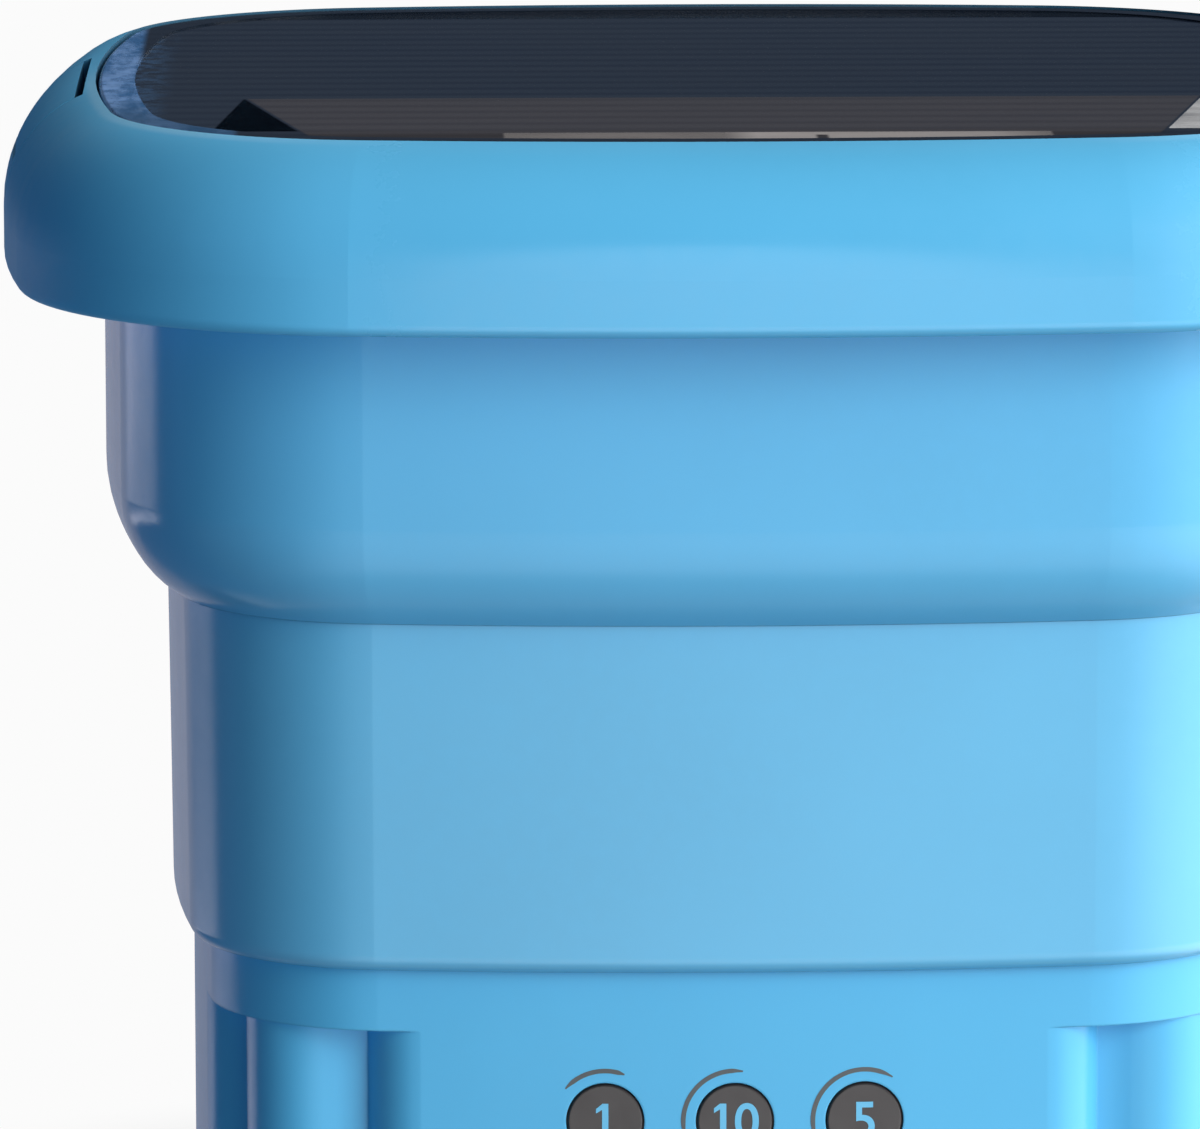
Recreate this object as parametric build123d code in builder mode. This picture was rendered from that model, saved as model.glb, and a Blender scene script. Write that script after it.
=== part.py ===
"""A folding tub washer: a rigid base, two soft tub walls that fold down, a rigid rim and a lift-off lid.

Lengths are in millimetres. The origin is the middle of the footprint on the floor, +Z is up and the
programme keys face -Y. Every wall of the tub is parallel to the widest outline, the rim's, so a
wall's place is given as its inset from that outline.
"""

from build123d import *
import os
from math import acos, asin, atan2, cos, degrees, radians, sin, sqrt

os.makedirs("parts", exist_ok=True)

# Plan of the widest outline: four bowed sides joined by round corners
half_width = 140.0
side_radius_share = 4.0
corner_radius_share = 0.5215

# Heights, from the floor to the tub's floor and up from piece to piece
foot_height = 4.0
tub_floor_height = 88.0
base_top_rise = 8.5
flute_top_drop = 12.0
middle_wall_height = 67.0
upper_wall_height = 58.5
rim_height = 34.5

# Insets of the walls from the widest outline
lip_inset = 18.1
upper_wall_inset = 19.5
middle_wall_inset = 32.0

# Wall thicknesses, and the clearances that several pieces share
hard_wall = 2.6
soft_wall = 2.5
side_gap = 0.6
fit_gap = 0.3
bearing_gap = 0.05
overrun = 1.0

# Rim: a shoulder that falls from the lip, an upright side and an inner mouth wall under the lid's ledge
crown_angle = 15.0
rim_edge_radius = 2.4
lid_recess_depth = 5.5
mouth_wall = 2.4
ledge_thickness = 2.4

# Ring that closes the rim from below and clamps the soft wall
under_ring_inset = 2.9
under_ring_thickness = 2.4
under_ring_lift = 0.2
clamp_wall = 2.3
clamp_height = 9.3
clamp_gap = 0.2
bead_gap = 0.1

# Screws that hold the ring to the rim
rim_screw_inset = 12.0
rim_screw_radius = 1.4
rim_screw_head_radius = 2.7
rim_screw_head_height = 1.5
rim_screw_length = 12.0
rim_boss_radius = 3.3

# Carry handle, folded flush into the rim's left side
grip_lip_gap = 3.4
grip_height = 13.0
grip_thickness = 5.5
grip_half_length = 31.4
arm_width = 5.9
arm_overlap = 2.5
arm_radius = 4.2
handle_pivot_inset = 4.6
handle_pivot_rise = 8.6
slit_width = 1.6
handle_side_gap = 0.8
handle_under_gap = 1.5
arm_gap = 0.6
handle_pin_radius = 1.5
handle_pin_hold = 4.0
handle_seat_half_length = 37.0

# Soft upper wall: upright, then a belly that curves in to the step
belly_drop = 19.5
bead_width = 3.0
bead_height = 2.4

# Soft middle wall, from inside the belly down to the base
middle_taper = 0.7
middle_rise = 2.7
middle_foot_lip = 1.1
middle_edge_radius = 3.2
middle_lip_height = 2.9

# Base shell: flush panels between four fluted corners
panel_share = 0.5721
crease_share = 0.6683
crease_inset_share = 0.1173
cove_share = 0.298
cove_angle = 12.0

# Inner tub, with a collar inside the foot of the soft wall
tub_gap = 0.4
tub_wall = 2.4
tub_floor_thickness = 2.5
tub_lip_thickness = 2.3
collar_gap = 0.1
collar_wall = 2.5
collar_height = 5.5
tub_floor_fillet = 5.0

# Lid: a frame with a locating skirt, a smoked panel and a soft gasket
lid_drop = 0.3
lid_thickness = 3.0
lid_edge_radius = 0.8
window_margin = 1.2
window_drop = 0.3
window_thickness = 1.8
window_flange_width = 3.0
window_flange_thickness = 2.5
skirt_wall = 2.0
skirt_depth = 6.2
gasket_margin = 2.3
gasket_width = 3.0

# Feet and base cover
foot_inset = 34.0
foot_radius = 10.0
foot_taper = 1.2
foot_stud_radius = 3.0
foot_stud_height = 2.0
cover_thickness = 2.6
cover_gap = 0.4
post_radius = 4.4
post_height = 17.4
post_bite = 0.6
cover_screw_radius = 1.5
cover_screw_head_radius = 3.0
cover_screw_head_height = 1.6
cover_screw_length = 12.0

# Programme keys on the front panel
key_drop = 17.0
key_pitch = 24.6
key_radius = 7.15
key_flange_radius = 8.6
key_flange_thickness = 1.0
key_stem_radius = 2.2
key_travel = 0.8
key_edge_chamfer = 0.3

# Control board behind the keys
board_setback = 11.8
board_thickness = 1.6
board_half_width = 40.0
board_above_keys = 15.5
board_below_keys = 17.5
board_corner = 2.0
switch_size = 6.0
switch_height = 2.9
plunger_radius = 1.8
plunger_height = 0.8
switch_gap = 0.2
board_boss_place = 34.0
board_boss_drop = 11.5
board_boss_radius = 3.2
board_screw_radius = 1.2
board_screw_head_radius = 2.5
board_screw_head_height = 1.4
board_screw_length = 6.0
connector_place = 20.0
connector_width = 10.0
connector_depth = 7.0
connector_height = 9.0
connector_drop = 11.5

# Motor under the tub floor
can_radius = 28.0
can_wall = 2.6
can_height = 39.0
can_drop = 11.0
can_boss_radius = 10.2
can_boss_height = 5.4
stator_thickness = 8.5
stator_rise = 9.0
stator_height = 23.0
air_gap = 0.6
rotor_end_gap = 1.0
bracket_thickness = 3.0
bracket_share = 0.3558
bracket_corner = 6.0
bracket_hub_radius = 11.0
bracket_hub_height = 3.0
bracket_lip = 1.0
bracket_lip_radius = 6.0
motor_screw_inset = 6.0
motor_screw_radius = 1.6
motor_screw_head_radius = 3.2
motor_screw_head_height = 2.0
motor_screw_length = 9.0
standoff_radius = 4.5

# Drive shaft, bearings and seal
shaft_radius = 3.0
shaft_end_gap = 0.4
shaft_cap_gap = 1.4
bearing_radius = 8.0
bearing_width = 5.0
seal_radius = 9.0
seal_height = 5.0
floor_hub_radius = 12.0
floor_hub_drop = 3.0
floor_hub_rise = 2.5
floor_hub_bore_radius = 4.0

# Pulsator: a dished disc with a domed hub and curved vanes
pulsator_margin = 43.6
pulsator_lift = 2.0
pulsator_thickness = 2.8
pulsator_rise = 3.2
edge_round = 1.4
hub_dome_radius = 15.0
hub_dome_rise = 9.5
hub_socket_gap = 1.2
vane_count = 6
vane_thickness = 4.4
vane_start = 12.0
vane_margin = 4.0
vane_sweep = 34.0
vane_inner_drop = 1.0
vane_outer_rise = 3.3
water_hole_radius = 2.2
water_hole_margin = 15.0
cap_radius = 8.0
cap_height = 2.6
cap_sink = 1.6
cap_chamfer = 0.6
cap_slot_width = 1.6
cap_slot_depth = 1.0
cap_screw_radius = 1.8
cap_screw_length = 7.0

# Drain in a corner of the tub floor, its elbow and the spigot at the back
drain_x_share = 0.4423
elbow_run = 22.0
drain_hole_radius = 10.0
stopper_radius = 9.6
stopper_taper = 0.5
stopper_depth = 4.0
stopper_lift = 0.2
stopper_flange_radius = 13.0
stopper_flange_thickness = 2.0
stopper_neck_radius = 3.0
stopper_neck_height = 2.2
stopper_knob_radius = 5.2
stopper_knob_height = 3.4
stopper_chamfer = 0.6
drain_gasket_thickness = 0.8
funnel_radius = 13.5
funnel_bore_radius = 10.6
funnel_height = 7.0
funnel_cone_height = 3.0
pipe_radius = 7.0
pipe_bore_radius = 5.0
pipe_bend_radius = 16.0
outlet_rise = 13.0
outlet_pad_radius = 10.0
outlet_pad_inset = 0.4
outlet_pad_depth = 5.6
spigot_hold = 11.6
spigot_reach = 15.4
spigot_flange_radius = 9.4
spigot_flange_thickness = 1.6

# Power jack at the back
jack_body_radius = 5.4
jack_flange_radius = 7.6
jack_flange_thickness = 1.2
jack_body_length = 15.6
jack_bore_radius = 2.85
jack_bore_depth = 9.5

# Leads inside the base
lead_radius = 1.6
lead_bend = 12.0
power_lead_turn = 24.0
power_lead_rise = 5.0
motor_lead_inset_x = 16.0
motor_lead_inset_y = 12.0
motor_lead_drop = 12.0
motor_lead_rise = 2.0
motor_lead_bend = 7.0

# What follows from the values above
side_radius = half_width * side_radius_share
corner_radius = half_width * corner_radius_share
base_top = tub_floor_height + base_top_rise
flute_top = base_top - flute_top_drop
step_height = base_top + middle_wall_height
rim_bottom = step_height + upper_wall_height
rim_top = rim_bottom + rim_height
middle_top_inset = middle_wall_inset - middle_taper
middle_inner_inset = middle_wall_inset + soft_wall
base_inset = middle_inner_inset + middle_foot_lip + cover_gap
tub_inset = base_inset + hard_wall + tub_gap
mouth_inset = upper_wall_inset + soft_wall + clamp_gap + mouth_wall
side_centre = half_width - side_radius
centre_gap = side_radius - corner_radius
corner_centre = (side_centre + sqrt(2 * centre_gap**2 - side_centre**2)) / 2
side_angle = degrees(atan2(corner_centre, corner_centre - side_centre))
crown_radius = lip_inset / (1 - sin(radians(crown_angle)))
crown_start = rim_top - crown_radius * cos(radians(crown_angle))
inner_crown_radius = crown_radius - hard_wall
inner_crown_angle = acos((crown_radius - lip_inset + hard_wall) / inner_crown_radius)
ledge_height = rim_top - lid_recess_depth
belly_top = step_height + belly_drop
belly_lip_inset = middle_top_inset - fit_gap
belly_width = belly_lip_inset - upper_wall_inset
belly_radius = (belly_drop**2 + belly_width**2) / (2 * belly_width)
inner_belly_radius = belly_radius - soft_wall
belly_centre_inset = upper_wall_inset + belly_radius
lip_reach = belly_centre_inset - belly_lip_inset
belly_lip_top = belly_top - sqrt(inner_belly_radius**2 - lip_reach**2)
clamp_bottom = rim_bottom + under_ring_lift + under_ring_thickness
upper_wall_top = clamp_bottom + clamp_height + bead_gap + bead_height
grip_inset = lip_inset - grip_lip_gap
grip_bottom = rim_top - grip_height
arm_top = grip_bottom + arm_overlap
handle_pivot_height = rim_bottom + handle_pivot_rise
base_half = half_width - base_inset
panel_radius = side_radius - base_inset
panel_half_width = base_half * panel_share
crease_place = base_half * crease_share
crease_inset = base_half * crease_inset_share
cove_radius = base_half * cove_share
tub_inner = tub_inset + tub_wall
tub_floor_top = tub_floor_height + tub_floor_thickness
collar_top = base_top + collar_height
window_inset = mouth_inset + window_margin
gasket_inset = lip_inset + gasket_margin
lid_top = rim_top - lid_drop
lid_bottom = lid_top - lid_thickness
window_top = lid_top - window_drop
window_bottom = window_top - window_thickness
cover_bottom = foot_height
cover_top = cover_bottom + cover_thickness
skirt_bottom = lid_bottom - skirt_depth
foot_place = base_half - foot_inset
post_top = cover_top + post_height
key_height = flute_top - key_drop
board_front = base_half - board_setback
board_bottom = key_height - board_below_keys
board_top = key_height + board_above_keys
board_boss_height = key_height - board_boss_drop
connector_bottom = key_height - connector_drop
bracket_half_width = base_half * bracket_share
motor_screw_place = bracket_half_width - motor_screw_inset
motor_lead_x = can_radius - motor_lead_inset_x
motor_lead_y = motor_lead_inset_y - can_radius
can_top = tub_floor_height - can_drop
can_bottom = can_top - can_height
stator_bottom = can_bottom + stator_rise
stator_top = stator_bottom + stator_height
floor_hub_bottom = tub_floor_height - floor_hub_drop
floor_hub_top = tub_floor_top + floor_hub_rise
pulsator_radius = half_width - tub_inner - pulsator_margin
hub_socket_radius = floor_hub_radius + hub_socket_gap
hub_socket_top = floor_hub_top + hub_socket_gap
vane_end = pulsator_radius - vane_margin
water_hole_place = pulsator_radius - water_hole_margin
drain_x = base_half * drain_x_share
outlet_height = foot_height + outlet_rise
outlet_pad_place = base_half - outlet_pad_inset
spigot_start = outlet_pad_place - spigot_hold
drain_y = spigot_start - elbow_run
spigot_end = outlet_pad_place + spigot_reach
jack_x = -drain_x
jack_rear = outlet_pad_place - jack_body_length
bracket_top = can_top + bracket_thickness
post_place = base_half - hard_wall - post_radius + post_bite
switch_front = board_front + switch_height + plunger_height
pulsator_bottom = tub_floor_top + pulsator_lift
pulsator_top = pulsator_bottom + pulsator_thickness
hub_dome_height = pulsator_bottom + hub_dome_rise
vane_inner_top = hub_dome_height - vane_inner_drop
vane_outer_top = pulsator_top + vane_outer_rise
hub_shoulder = ((hub_dome_radius + cap_radius) / 2 + edge_round, hub_dome_height - edge_round / 2)
water_hole_turn = 180 / vane_count
cap_bottom = hub_dome_height - cap_sink
shaft_bottom = can_bottom + can_wall + shaft_end_gap
shaft_top = cap_bottom - shaft_cap_gap
stator_bore = can_radius - can_wall - stator_thickness
connector_middle = connector_bottom + connector_height / 2
lead_front = board_front - board_thickness - connector_depth / 2
corners = [(1, 1), (-1, 1), (-1, -1), (1, -1)]
above = (Align.CENTER, Align.CENTER, Align.MIN)
below = (Align.CENTER, Align.CENTER, Align.MAX)


def tub_line(inset):
    """The closed line that lies inside the widest outline by inset, from the middle of the right side."""
    with BuildLine() as line:
        CenterArc((side_centre, 0), side_radius - inset, 0, side_angle)
        for quarter in range(4):
            turn = 90 * quarter
            corner = Vector(corner_centre, corner_centre).rotate(Axis.Z, turn)
            CenterArc(corner, corner_radius - inset, turn + side_angle, 90 - 2 * side_angle)
            if quarter < 3:
                next_side = Vector(0, side_centre).rotate(Axis.Z, turn)
                CenterArc(next_side, side_radius - inset, turn + 90 - side_angle, 2 * side_angle)
        CenterArc((side_centre, 0), side_radius - inset, -side_angle, side_angle)
    return line.line


def right(inset, height):
    """A point of a wall's section through the middle of the right side."""
    return (half_width - inset, height)


def left(inset, height):
    """A point of a wall's section through the middle of the left side."""
    return (inset - half_width, height)


def tub_ring(outer_inset, inner_inset):
    """Draw the face between two outlines of the tub in the sketch that is open."""
    make_face(tub_line(outer_inset))
    make_face(tub_line(inner_inset), mode=Mode.SUBTRACT)


def rim_outside():
    """Draw the rim's outside in section, from the lip over the shoulder to the lower edge."""
    fall = (cos(radians(crown_angle)), -sin(radians(crown_angle)))
    shoulder = JernArc(right(lip_inset, rim_top), fall, crown_radius, crown_angle - 90)
    upright = Line(shoulder @ 1, right(0, rim_bottom + rim_edge_radius))
    edge = JernArc(upright @ 1, (0, -1), rim_edge_radius, -90)
    return shoulder @ 0, edge @ 1


def side_box(shallow_inset, deep_inset, low, high, mode=Mode.ADD):
    """Draw a rectangle in a section through the left side, between two insets and two heights."""
    with BuildLine() as line:
        Polyline(
            left(shallow_inset, low),
            left(deep_inset, low),
            left(deep_inset, high),
            left(shallow_inset, high),
            close=True,
        )
    make_face(line.line, mode=mode)


def side_disc(inset, height, radius, mode=Mode.ADD):
    """Draw a disc in a section through the left side."""
    with Locations(left(inset, height)):
        Circle(radius, mode=mode)


def panel_plane(place, height):
    """The plane that touches the bowed front panel at a place along it, facing out."""
    lean = asin(place / panel_radius)
    touch = (place, -side_centre - panel_radius * cos(lean), height)
    return Plane(origin=touch, x_dir=(cos(lean), sin(lean), 0), z_dir=(sin(lean), -cos(lean), 0))


# Space inside the rim's outside, used to trim what is flush with it
with BuildPart() as rim_space:
    with BuildSketch(Plane.XZ):
        with BuildLine():
            lip, lower_edge = rim_outside()
            Polyline(lower_edge, right(lip_inset, rim_bottom), lip)
        make_face()
    sweep(path=tub_line(0))

# Solid seat in the rim that takes the handle
with BuildPart() as handle_seat:
    with BuildSketch(Plane.XZ):
        side_box(-overrun, upper_wall_inset - bead_width - fit_gap, clamp_bottom, ledge_height)
        side_box(-overrun, lip_inset, upper_wall_top + fit_gap, ledge_height)
    extrude(amount=handle_seat_half_length, both=True)
    add(rim_space.part, mode=Mode.INTERSECT)

# Pocket round the folded handle, open to the outside so that the handle can swing out
with BuildPart() as handle_pocket:
    grip_space_half = grip_half_length + handle_side_gap
    arm_space_radius = arm_radius + arm_gap
    with BuildSketch(Plane.XZ):
        side_box(-overrun, grip_inset + slit_width, grip_bottom - handle_under_gap, rim_top + overrun)
        side_disc(crown_radius, crown_start, crown_radius - grip_thickness - handle_under_gap, Mode.SUBTRACT)
    extrude(amount=grip_space_half, both=True)
    for end in (-1, 1):
        with BuildSketch(Plane.XZ.offset(end * (grip_half_length - arm_width - handle_side_gap))):
            side_box(-overrun, handle_pivot_inset + arm_space_radius, handle_pivot_height, arm_top)
            side_box(
                -overrun,
                handle_pivot_inset,
                handle_pivot_height - arm_space_radius,
                handle_pivot_height,
            )
            side_disc(handle_pivot_inset, handle_pivot_height, arm_space_radius)
        extrude(amount=end * (arm_width + 2 * handle_side_gap))

# Handle pins, held in the seat on both sides of each arm
with BuildPart() as handle_pins:
    pin_inner = grip_half_length - arm_width - handle_side_gap - handle_pin_hold
    pin_outer = grip_half_length + handle_side_gap + handle_pin_hold
    for end in (-1, 1):
        with BuildSketch(Plane.XZ.offset(end * pin_inner)):
            side_disc(handle_pivot_inset, handle_pivot_height, handle_pin_radius)
        extrude(amount=end * (pin_outer - pin_inner))
handle_pins.part.label = "handle_pins"
export_step(handle_pins.part, "parts/handle_pins.step")

# Carry handle: a grip that continues the rim's shoulder, on two arms
with BuildPart() as carry_handle:
    with BuildSketch(Plane.XZ):
        side_box(-overrun, grip_inset, grip_bottom, rim_top + overrun)
        side_disc(crown_radius, crown_start, crown_radius - grip_thickness, Mode.SUBTRACT)
    extrude(amount=grip_half_length, both=True)
    for end in (-1, 1):
        with BuildSketch(Plane.XZ.offset(end * (grip_half_length - arm_width))):
            side_box(-overrun, handle_pivot_inset + arm_radius, handle_pivot_height, arm_top)
            side_disc(handle_pivot_inset, handle_pivot_height, arm_radius)
        extrude(amount=end * arm_width)
    add(rim_space.part, mode=Mode.INTERSECT)
    with BuildSketch(Plane.XZ):
        side_disc(handle_pivot_inset, handle_pivot_height, handle_pin_radius + bearing_gap)
    extrude(amount=pin_outer, both=True, mode=Mode.SUBTRACT)
carry_handle.part.label = "carry_handle"
export_step(carry_handle.part, "parts/carry_handle.step")

# Places of the screws under the rim, one in each corner
rim_screw_corner = corner_centre + (corner_radius - rim_screw_inset) / sqrt(2)
rim_screw_places = [(rim_screw_corner * x, rim_screw_corner * y) for x, y in corners]

# Rim shell
with BuildPart() as rim_shell:
    with BuildSketch(Plane.XZ):
        with BuildLine():
            lip, lower_edge = rim_outside()
            Polyline(
                lower_edge,
                right(mouth_inset, rim_bottom),
                right(mouth_inset, ledge_height),
                right(lip_inset, ledge_height),
                lip,
            )
        make_face()
        with BuildLine():
            bend_reach = crown_radius - inner_crown_radius * cos(inner_crown_angle / 2)
            bend_height = crown_start + inner_crown_radius * sin(inner_crown_angle / 2)
            Polyline(
                right(hard_wall, rim_bottom - overrun),
                right(hard_wall, crown_start),
                right(bend_reach, bend_height),
                right(lip_inset - hard_wall, crown_start + inner_crown_radius * sin(inner_crown_angle)),
                right(lip_inset - hard_wall, ledge_height - ledge_thickness),
                right(mouth_inset - mouth_wall, ledge_height - ledge_thickness),
                right(mouth_inset - mouth_wall, rim_bottom - overrun),
                close=True,
            )
        make_face(mode=Mode.SUBTRACT)
    sweep(path=tub_line(0))
    with BuildSketch(Plane.XY.offset(rim_bottom + under_ring_lift + under_ring_thickness)):
        with Locations(*rim_screw_places):
            Circle(rim_boss_radius)
    extrude(until=Until.NEXT)
    add(handle_seat.part)
    add(handle_pocket.part, mode=Mode.SUBTRACT)
    add(handle_pins.part, mode=Mode.SUBTRACT)
    with BuildSketch(Plane.XY.offset(rim_bottom)):
        with Locations(*rim_screw_places):
            Circle(rim_screw_radius)
    extrude(amount=rim_screw_length + overrun, mode=Mode.SUBTRACT)
rim_shell.part.label = "rim_shell"
export_step(rim_shell.part, "parts/rim_shell.step")

# Ring under the rim, with an upright that clamps the soft wall against the mouth wall
with BuildPart() as rim_under_ring:
    ring_bottom = rim_bottom + under_ring_lift
    ring_inner = upper_wall_inset - fit_gap
    with BuildSketch(Plane.XY.offset(ring_bottom)):
        tub_ring(under_ring_inset, ring_inner)
    extrude(amount=under_ring_thickness)
    with BuildSketch(Plane.XY.offset(ring_bottom + under_ring_thickness)):
        tub_ring(ring_inner - clamp_wall, ring_inner)
    extrude(amount=clamp_height)
    with Locations(Plane(origin=(0, 0, ring_bottom), z_dir=(0, 0, -1))):
        with Locations(*[(x, -y) for x, y in rim_screw_places]):
            CounterSinkHole(rim_screw_radius + side_gap / 2, rim_screw_head_radius + fit_gap)
rim_under_ring.part.label = "rim_under_ring"
export_step(rim_under_ring.part, "parts/rim_under_ring.step")

# Screws up into the rim, with flush heads
with BuildPart() as rim_screws:
    with Locations(*[(x, y, ring_bottom) for x, y in rim_screw_places]):
        Cone(rim_screw_head_radius, rim_screw_radius, rim_screw_head_height, align=above)
        Cylinder(rim_screw_radius, rim_screw_length, align=above)
rim_screws.part.label = "rim_screws"
export_step(rim_screws.part, "parts/rim_screws.step")

# Soft upper wall with a bead that hangs on the clamp
with BuildPart() as upper_wall:
    with BuildSketch(Plane.XZ):
        with BuildLine():
            belly_middle = right(belly_centre_inset, belly_top)
            belly_turn = degrees(asin(belly_drop / belly_radius))
            inner_turn = degrees(acos(lip_reach / inner_belly_radius))
            belly = CenterArc(belly_middle, belly_radius, 0, -belly_turn)
            inner_belly = CenterArc(belly_middle, inner_belly_radius, -inner_turn, inner_turn)
            Line(belly @ 1, inner_belly @ 0)
            Polyline(
                inner_belly @ 1,
                right(upper_wall_inset + soft_wall, upper_wall_top),
                right(upper_wall_inset - bead_width, upper_wall_top),
                right(upper_wall_inset - bead_width, upper_wall_top - bead_height),
                right(upper_wall_inset, upper_wall_top - bead_height),
                belly @ 0,
            )
        make_face()
    sweep(path=tub_line(0))
upper_wall.part.label = "upper_wall"
export_step(upper_wall.part, "parts/upper_wall.step")

# Soft middle wall, with a rounded foot that ends in a lip round the collar
with BuildPart() as middle_wall:
    with BuildSketch(Plane.XZ):
        with BuildLine():
            middle_slope = Line(
                right(middle_top_inset, step_height + middle_rise),
                right(middle_wall_inset, base_top + middle_edge_radius),
            )
            foot_turn = JernArc(middle_slope @ 1, (0, -1), middle_edge_radius, -90)
            Polyline(
                foot_turn @ 1,
                right(base_inset - cover_gap, base_top),
                right(base_inset - cover_gap, base_top + middle_lip_height),
                right(middle_inner_inset, base_top + middle_lip_height + overrun),
                right(middle_inner_inset, step_height + middle_rise),
                middle_slope @ 0,
            )
        make_face()
    sweep(path=tub_line(0))
middle_wall.part.label = "middle_wall"
export_step(middle_wall.part, "parts/middle_wall.step")

# Inner tub: floor, rounded foot, wall that rests on the base and collar that overlaps the soft wall
with BuildPart() as inner_tub:
    with BuildSketch(Plane.XZ):
        with BuildLine():
            corner_arc = JernArc(
                right(tub_inner, tub_floor_top + tub_floor_fillet), (0, -1), tub_floor_fillet, -90
            )
            Polyline(
                corner_arc @ 1,
                right(tub_inner + tub_floor_fillet, tub_floor_height),
                right(tub_inset, tub_floor_height),
                right(tub_inset, base_top),
                right(base_inset + collar_gap, base_top),
                right(base_inset + collar_gap, collar_top),
                right(base_inset + collar_gap + collar_wall, collar_top),
                right(base_inset + collar_gap + collar_wall, base_top + tub_lip_thickness),
                right(tub_inner, base_top + tub_lip_thickness),
                corner_arc @ 0,
            )
        make_face()
    sweep(path=tub_line(0))
    with BuildSketch(Plane.XY.offset(tub_floor_height)):
        make_face(tub_line(tub_inner + tub_floor_fillet))
    extrude(amount=tub_floor_thickness)
    with Locations((0, 0, floor_hub_bottom)):
        Cylinder(floor_hub_radius, floor_hub_top - floor_hub_bottom, align=above)
        Cylinder(seal_radius, tub_floor_top - floor_hub_bottom, align=above, mode=Mode.SUBTRACT)
        Cylinder(floor_hub_bore_radius, floor_hub_top, align=above, mode=Mode.SUBTRACT)
    with Locations((0, 0, bracket_top)):
        with GridLocations(2 * motor_screw_place, 2 * motor_screw_place, 2, 2):
            Cylinder(standoff_radius, tub_floor_height - bracket_top, align=above)
            Cylinder(motor_screw_radius, motor_screw_length, align=above, mode=Mode.SUBTRACT)
    with Locations((drain_x, drain_y, tub_floor_height)):
        Cylinder(drain_hole_radius, tub_floor_thickness, align=above, mode=Mode.SUBTRACT)
inner_tub.part.label = "inner_tub"
export_step(inner_tub.part, "parts/inner_tub.step")

# Lid frame with its locating skirt and the flange under the smoked panel
with BuildPart() as lid_frame:
    lid_inset = lip_inset + side_gap
    skirt_inset = mouth_inset + side_gap
    with BuildSketch(Plane.XZ):
        with BuildLine():
            lid_edge = JernArc(right(lid_inset, lid_top - lid_edge_radius), (0, 1), lid_edge_radius, 90)
            Polyline(
                lid_edge @ 1,
                right(window_inset, lid_top),
                right(window_inset, window_bottom),
                right(window_inset + window_flange_width, window_bottom),
                right(window_inset + window_flange_width, window_bottom - window_flange_thickness),
                right(skirt_inset + skirt_wall, window_bottom - window_flange_thickness),
                right(skirt_inset + skirt_wall, skirt_bottom),
                right(skirt_inset, skirt_bottom),
                right(skirt_inset, lid_bottom),
                right(lid_inset, lid_bottom),
                lid_edge @ 0,
            )
        make_face()
    sweep(path=tub_line(0))
lid_frame.part.label = "lid_frame"
export_step(lid_frame.part, "parts/lid_frame.step")

# Smoked lid panel
with BuildPart() as lid_window:
    with BuildSketch(Plane.XY.offset(window_bottom)):
        make_face(tub_line(window_inset + bearing_gap))
    extrude(amount=window_thickness)
lid_window.part.label = "lid_window"
export_step(lid_window.part, "parts/lid_window.step")

# Gasket between the lid and the rim's ledge
with BuildPart() as lid_gasket:
    with BuildSketch(Plane.XY.offset(ledge_height + bearing_gap)):
        tub_ring(gasket_inset, gasket_inset + gasket_width)
    extrude(amount=lid_bottom - ledge_height - bearing_gap)
lid_gasket.part.label = "lid_gasket"
export_step(lid_gasket.part, "parts/lid_gasket.step")

# Plan of the base with its fluted corners, drawn for one corner and turned to the others
with BuildSketch() as corner_cut:
    panel_lean = asin(panel_half_width / panel_radius)
    panel_edge = (panel_half_width, side_centre + panel_radius * cos(panel_lean))
    outside = base_half + overrun
    diagonal = Plane(origin=(0, 0, 0), z_dir=(1, -1, 0))
    with BuildLine():
        heading = (cos(panel_lean), -sin(panel_lean))
        blend = TangentArc(panel_edge, (crease_place, base_half - crease_inset), tangent=heading)
        cove = JernArc(blend @ 1, (1, 0), cove_radius, cove_angle)
        column_start = cove @ 1
        column_span = sin(radians(cove_angle)) + cos(radians(cove_angle))
        column_radius = (column_start.Y - column_start.X) / column_span
        column = JernArc(cove @ 1, cove % 1, column_radius, -45 - cove_angle)
        mirror(about=diagonal)
        Polyline(
            panel_edge,
            (panel_half_width, outside),
            (outside, outside),
            (outside, panel_half_width),
            (panel_edge[1], panel_half_width),
        )
    make_face()

with BuildSketch() as fluted_plan:
    make_face(tub_line(base_inset))
    with PolarLocations(0, 4):
        add(corner_cut.sketch, mode=Mode.SUBTRACT)

with BuildSketch() as inside_plan:
    add(fluted_plan.sketch)
    offset(amount=-hard_wall, mode=Mode.REPLACE)

with BuildSketch() as cover_plan:
    add(inside_plan.sketch)
    offset(amount=-cover_gap, mode=Mode.REPLACE)

# Places of the posts, board bosses and outlets in the base
post_places = [(post_place, 0), (0, post_place), (-post_place, 0), (0, -post_place)]
boss_places = [(-board_boss_place, board_boss_height), (board_boss_place, board_boss_height)]
key_planes = [panel_plane(place, key_height) for place in (-key_pitch, 0, key_pitch)]

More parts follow.
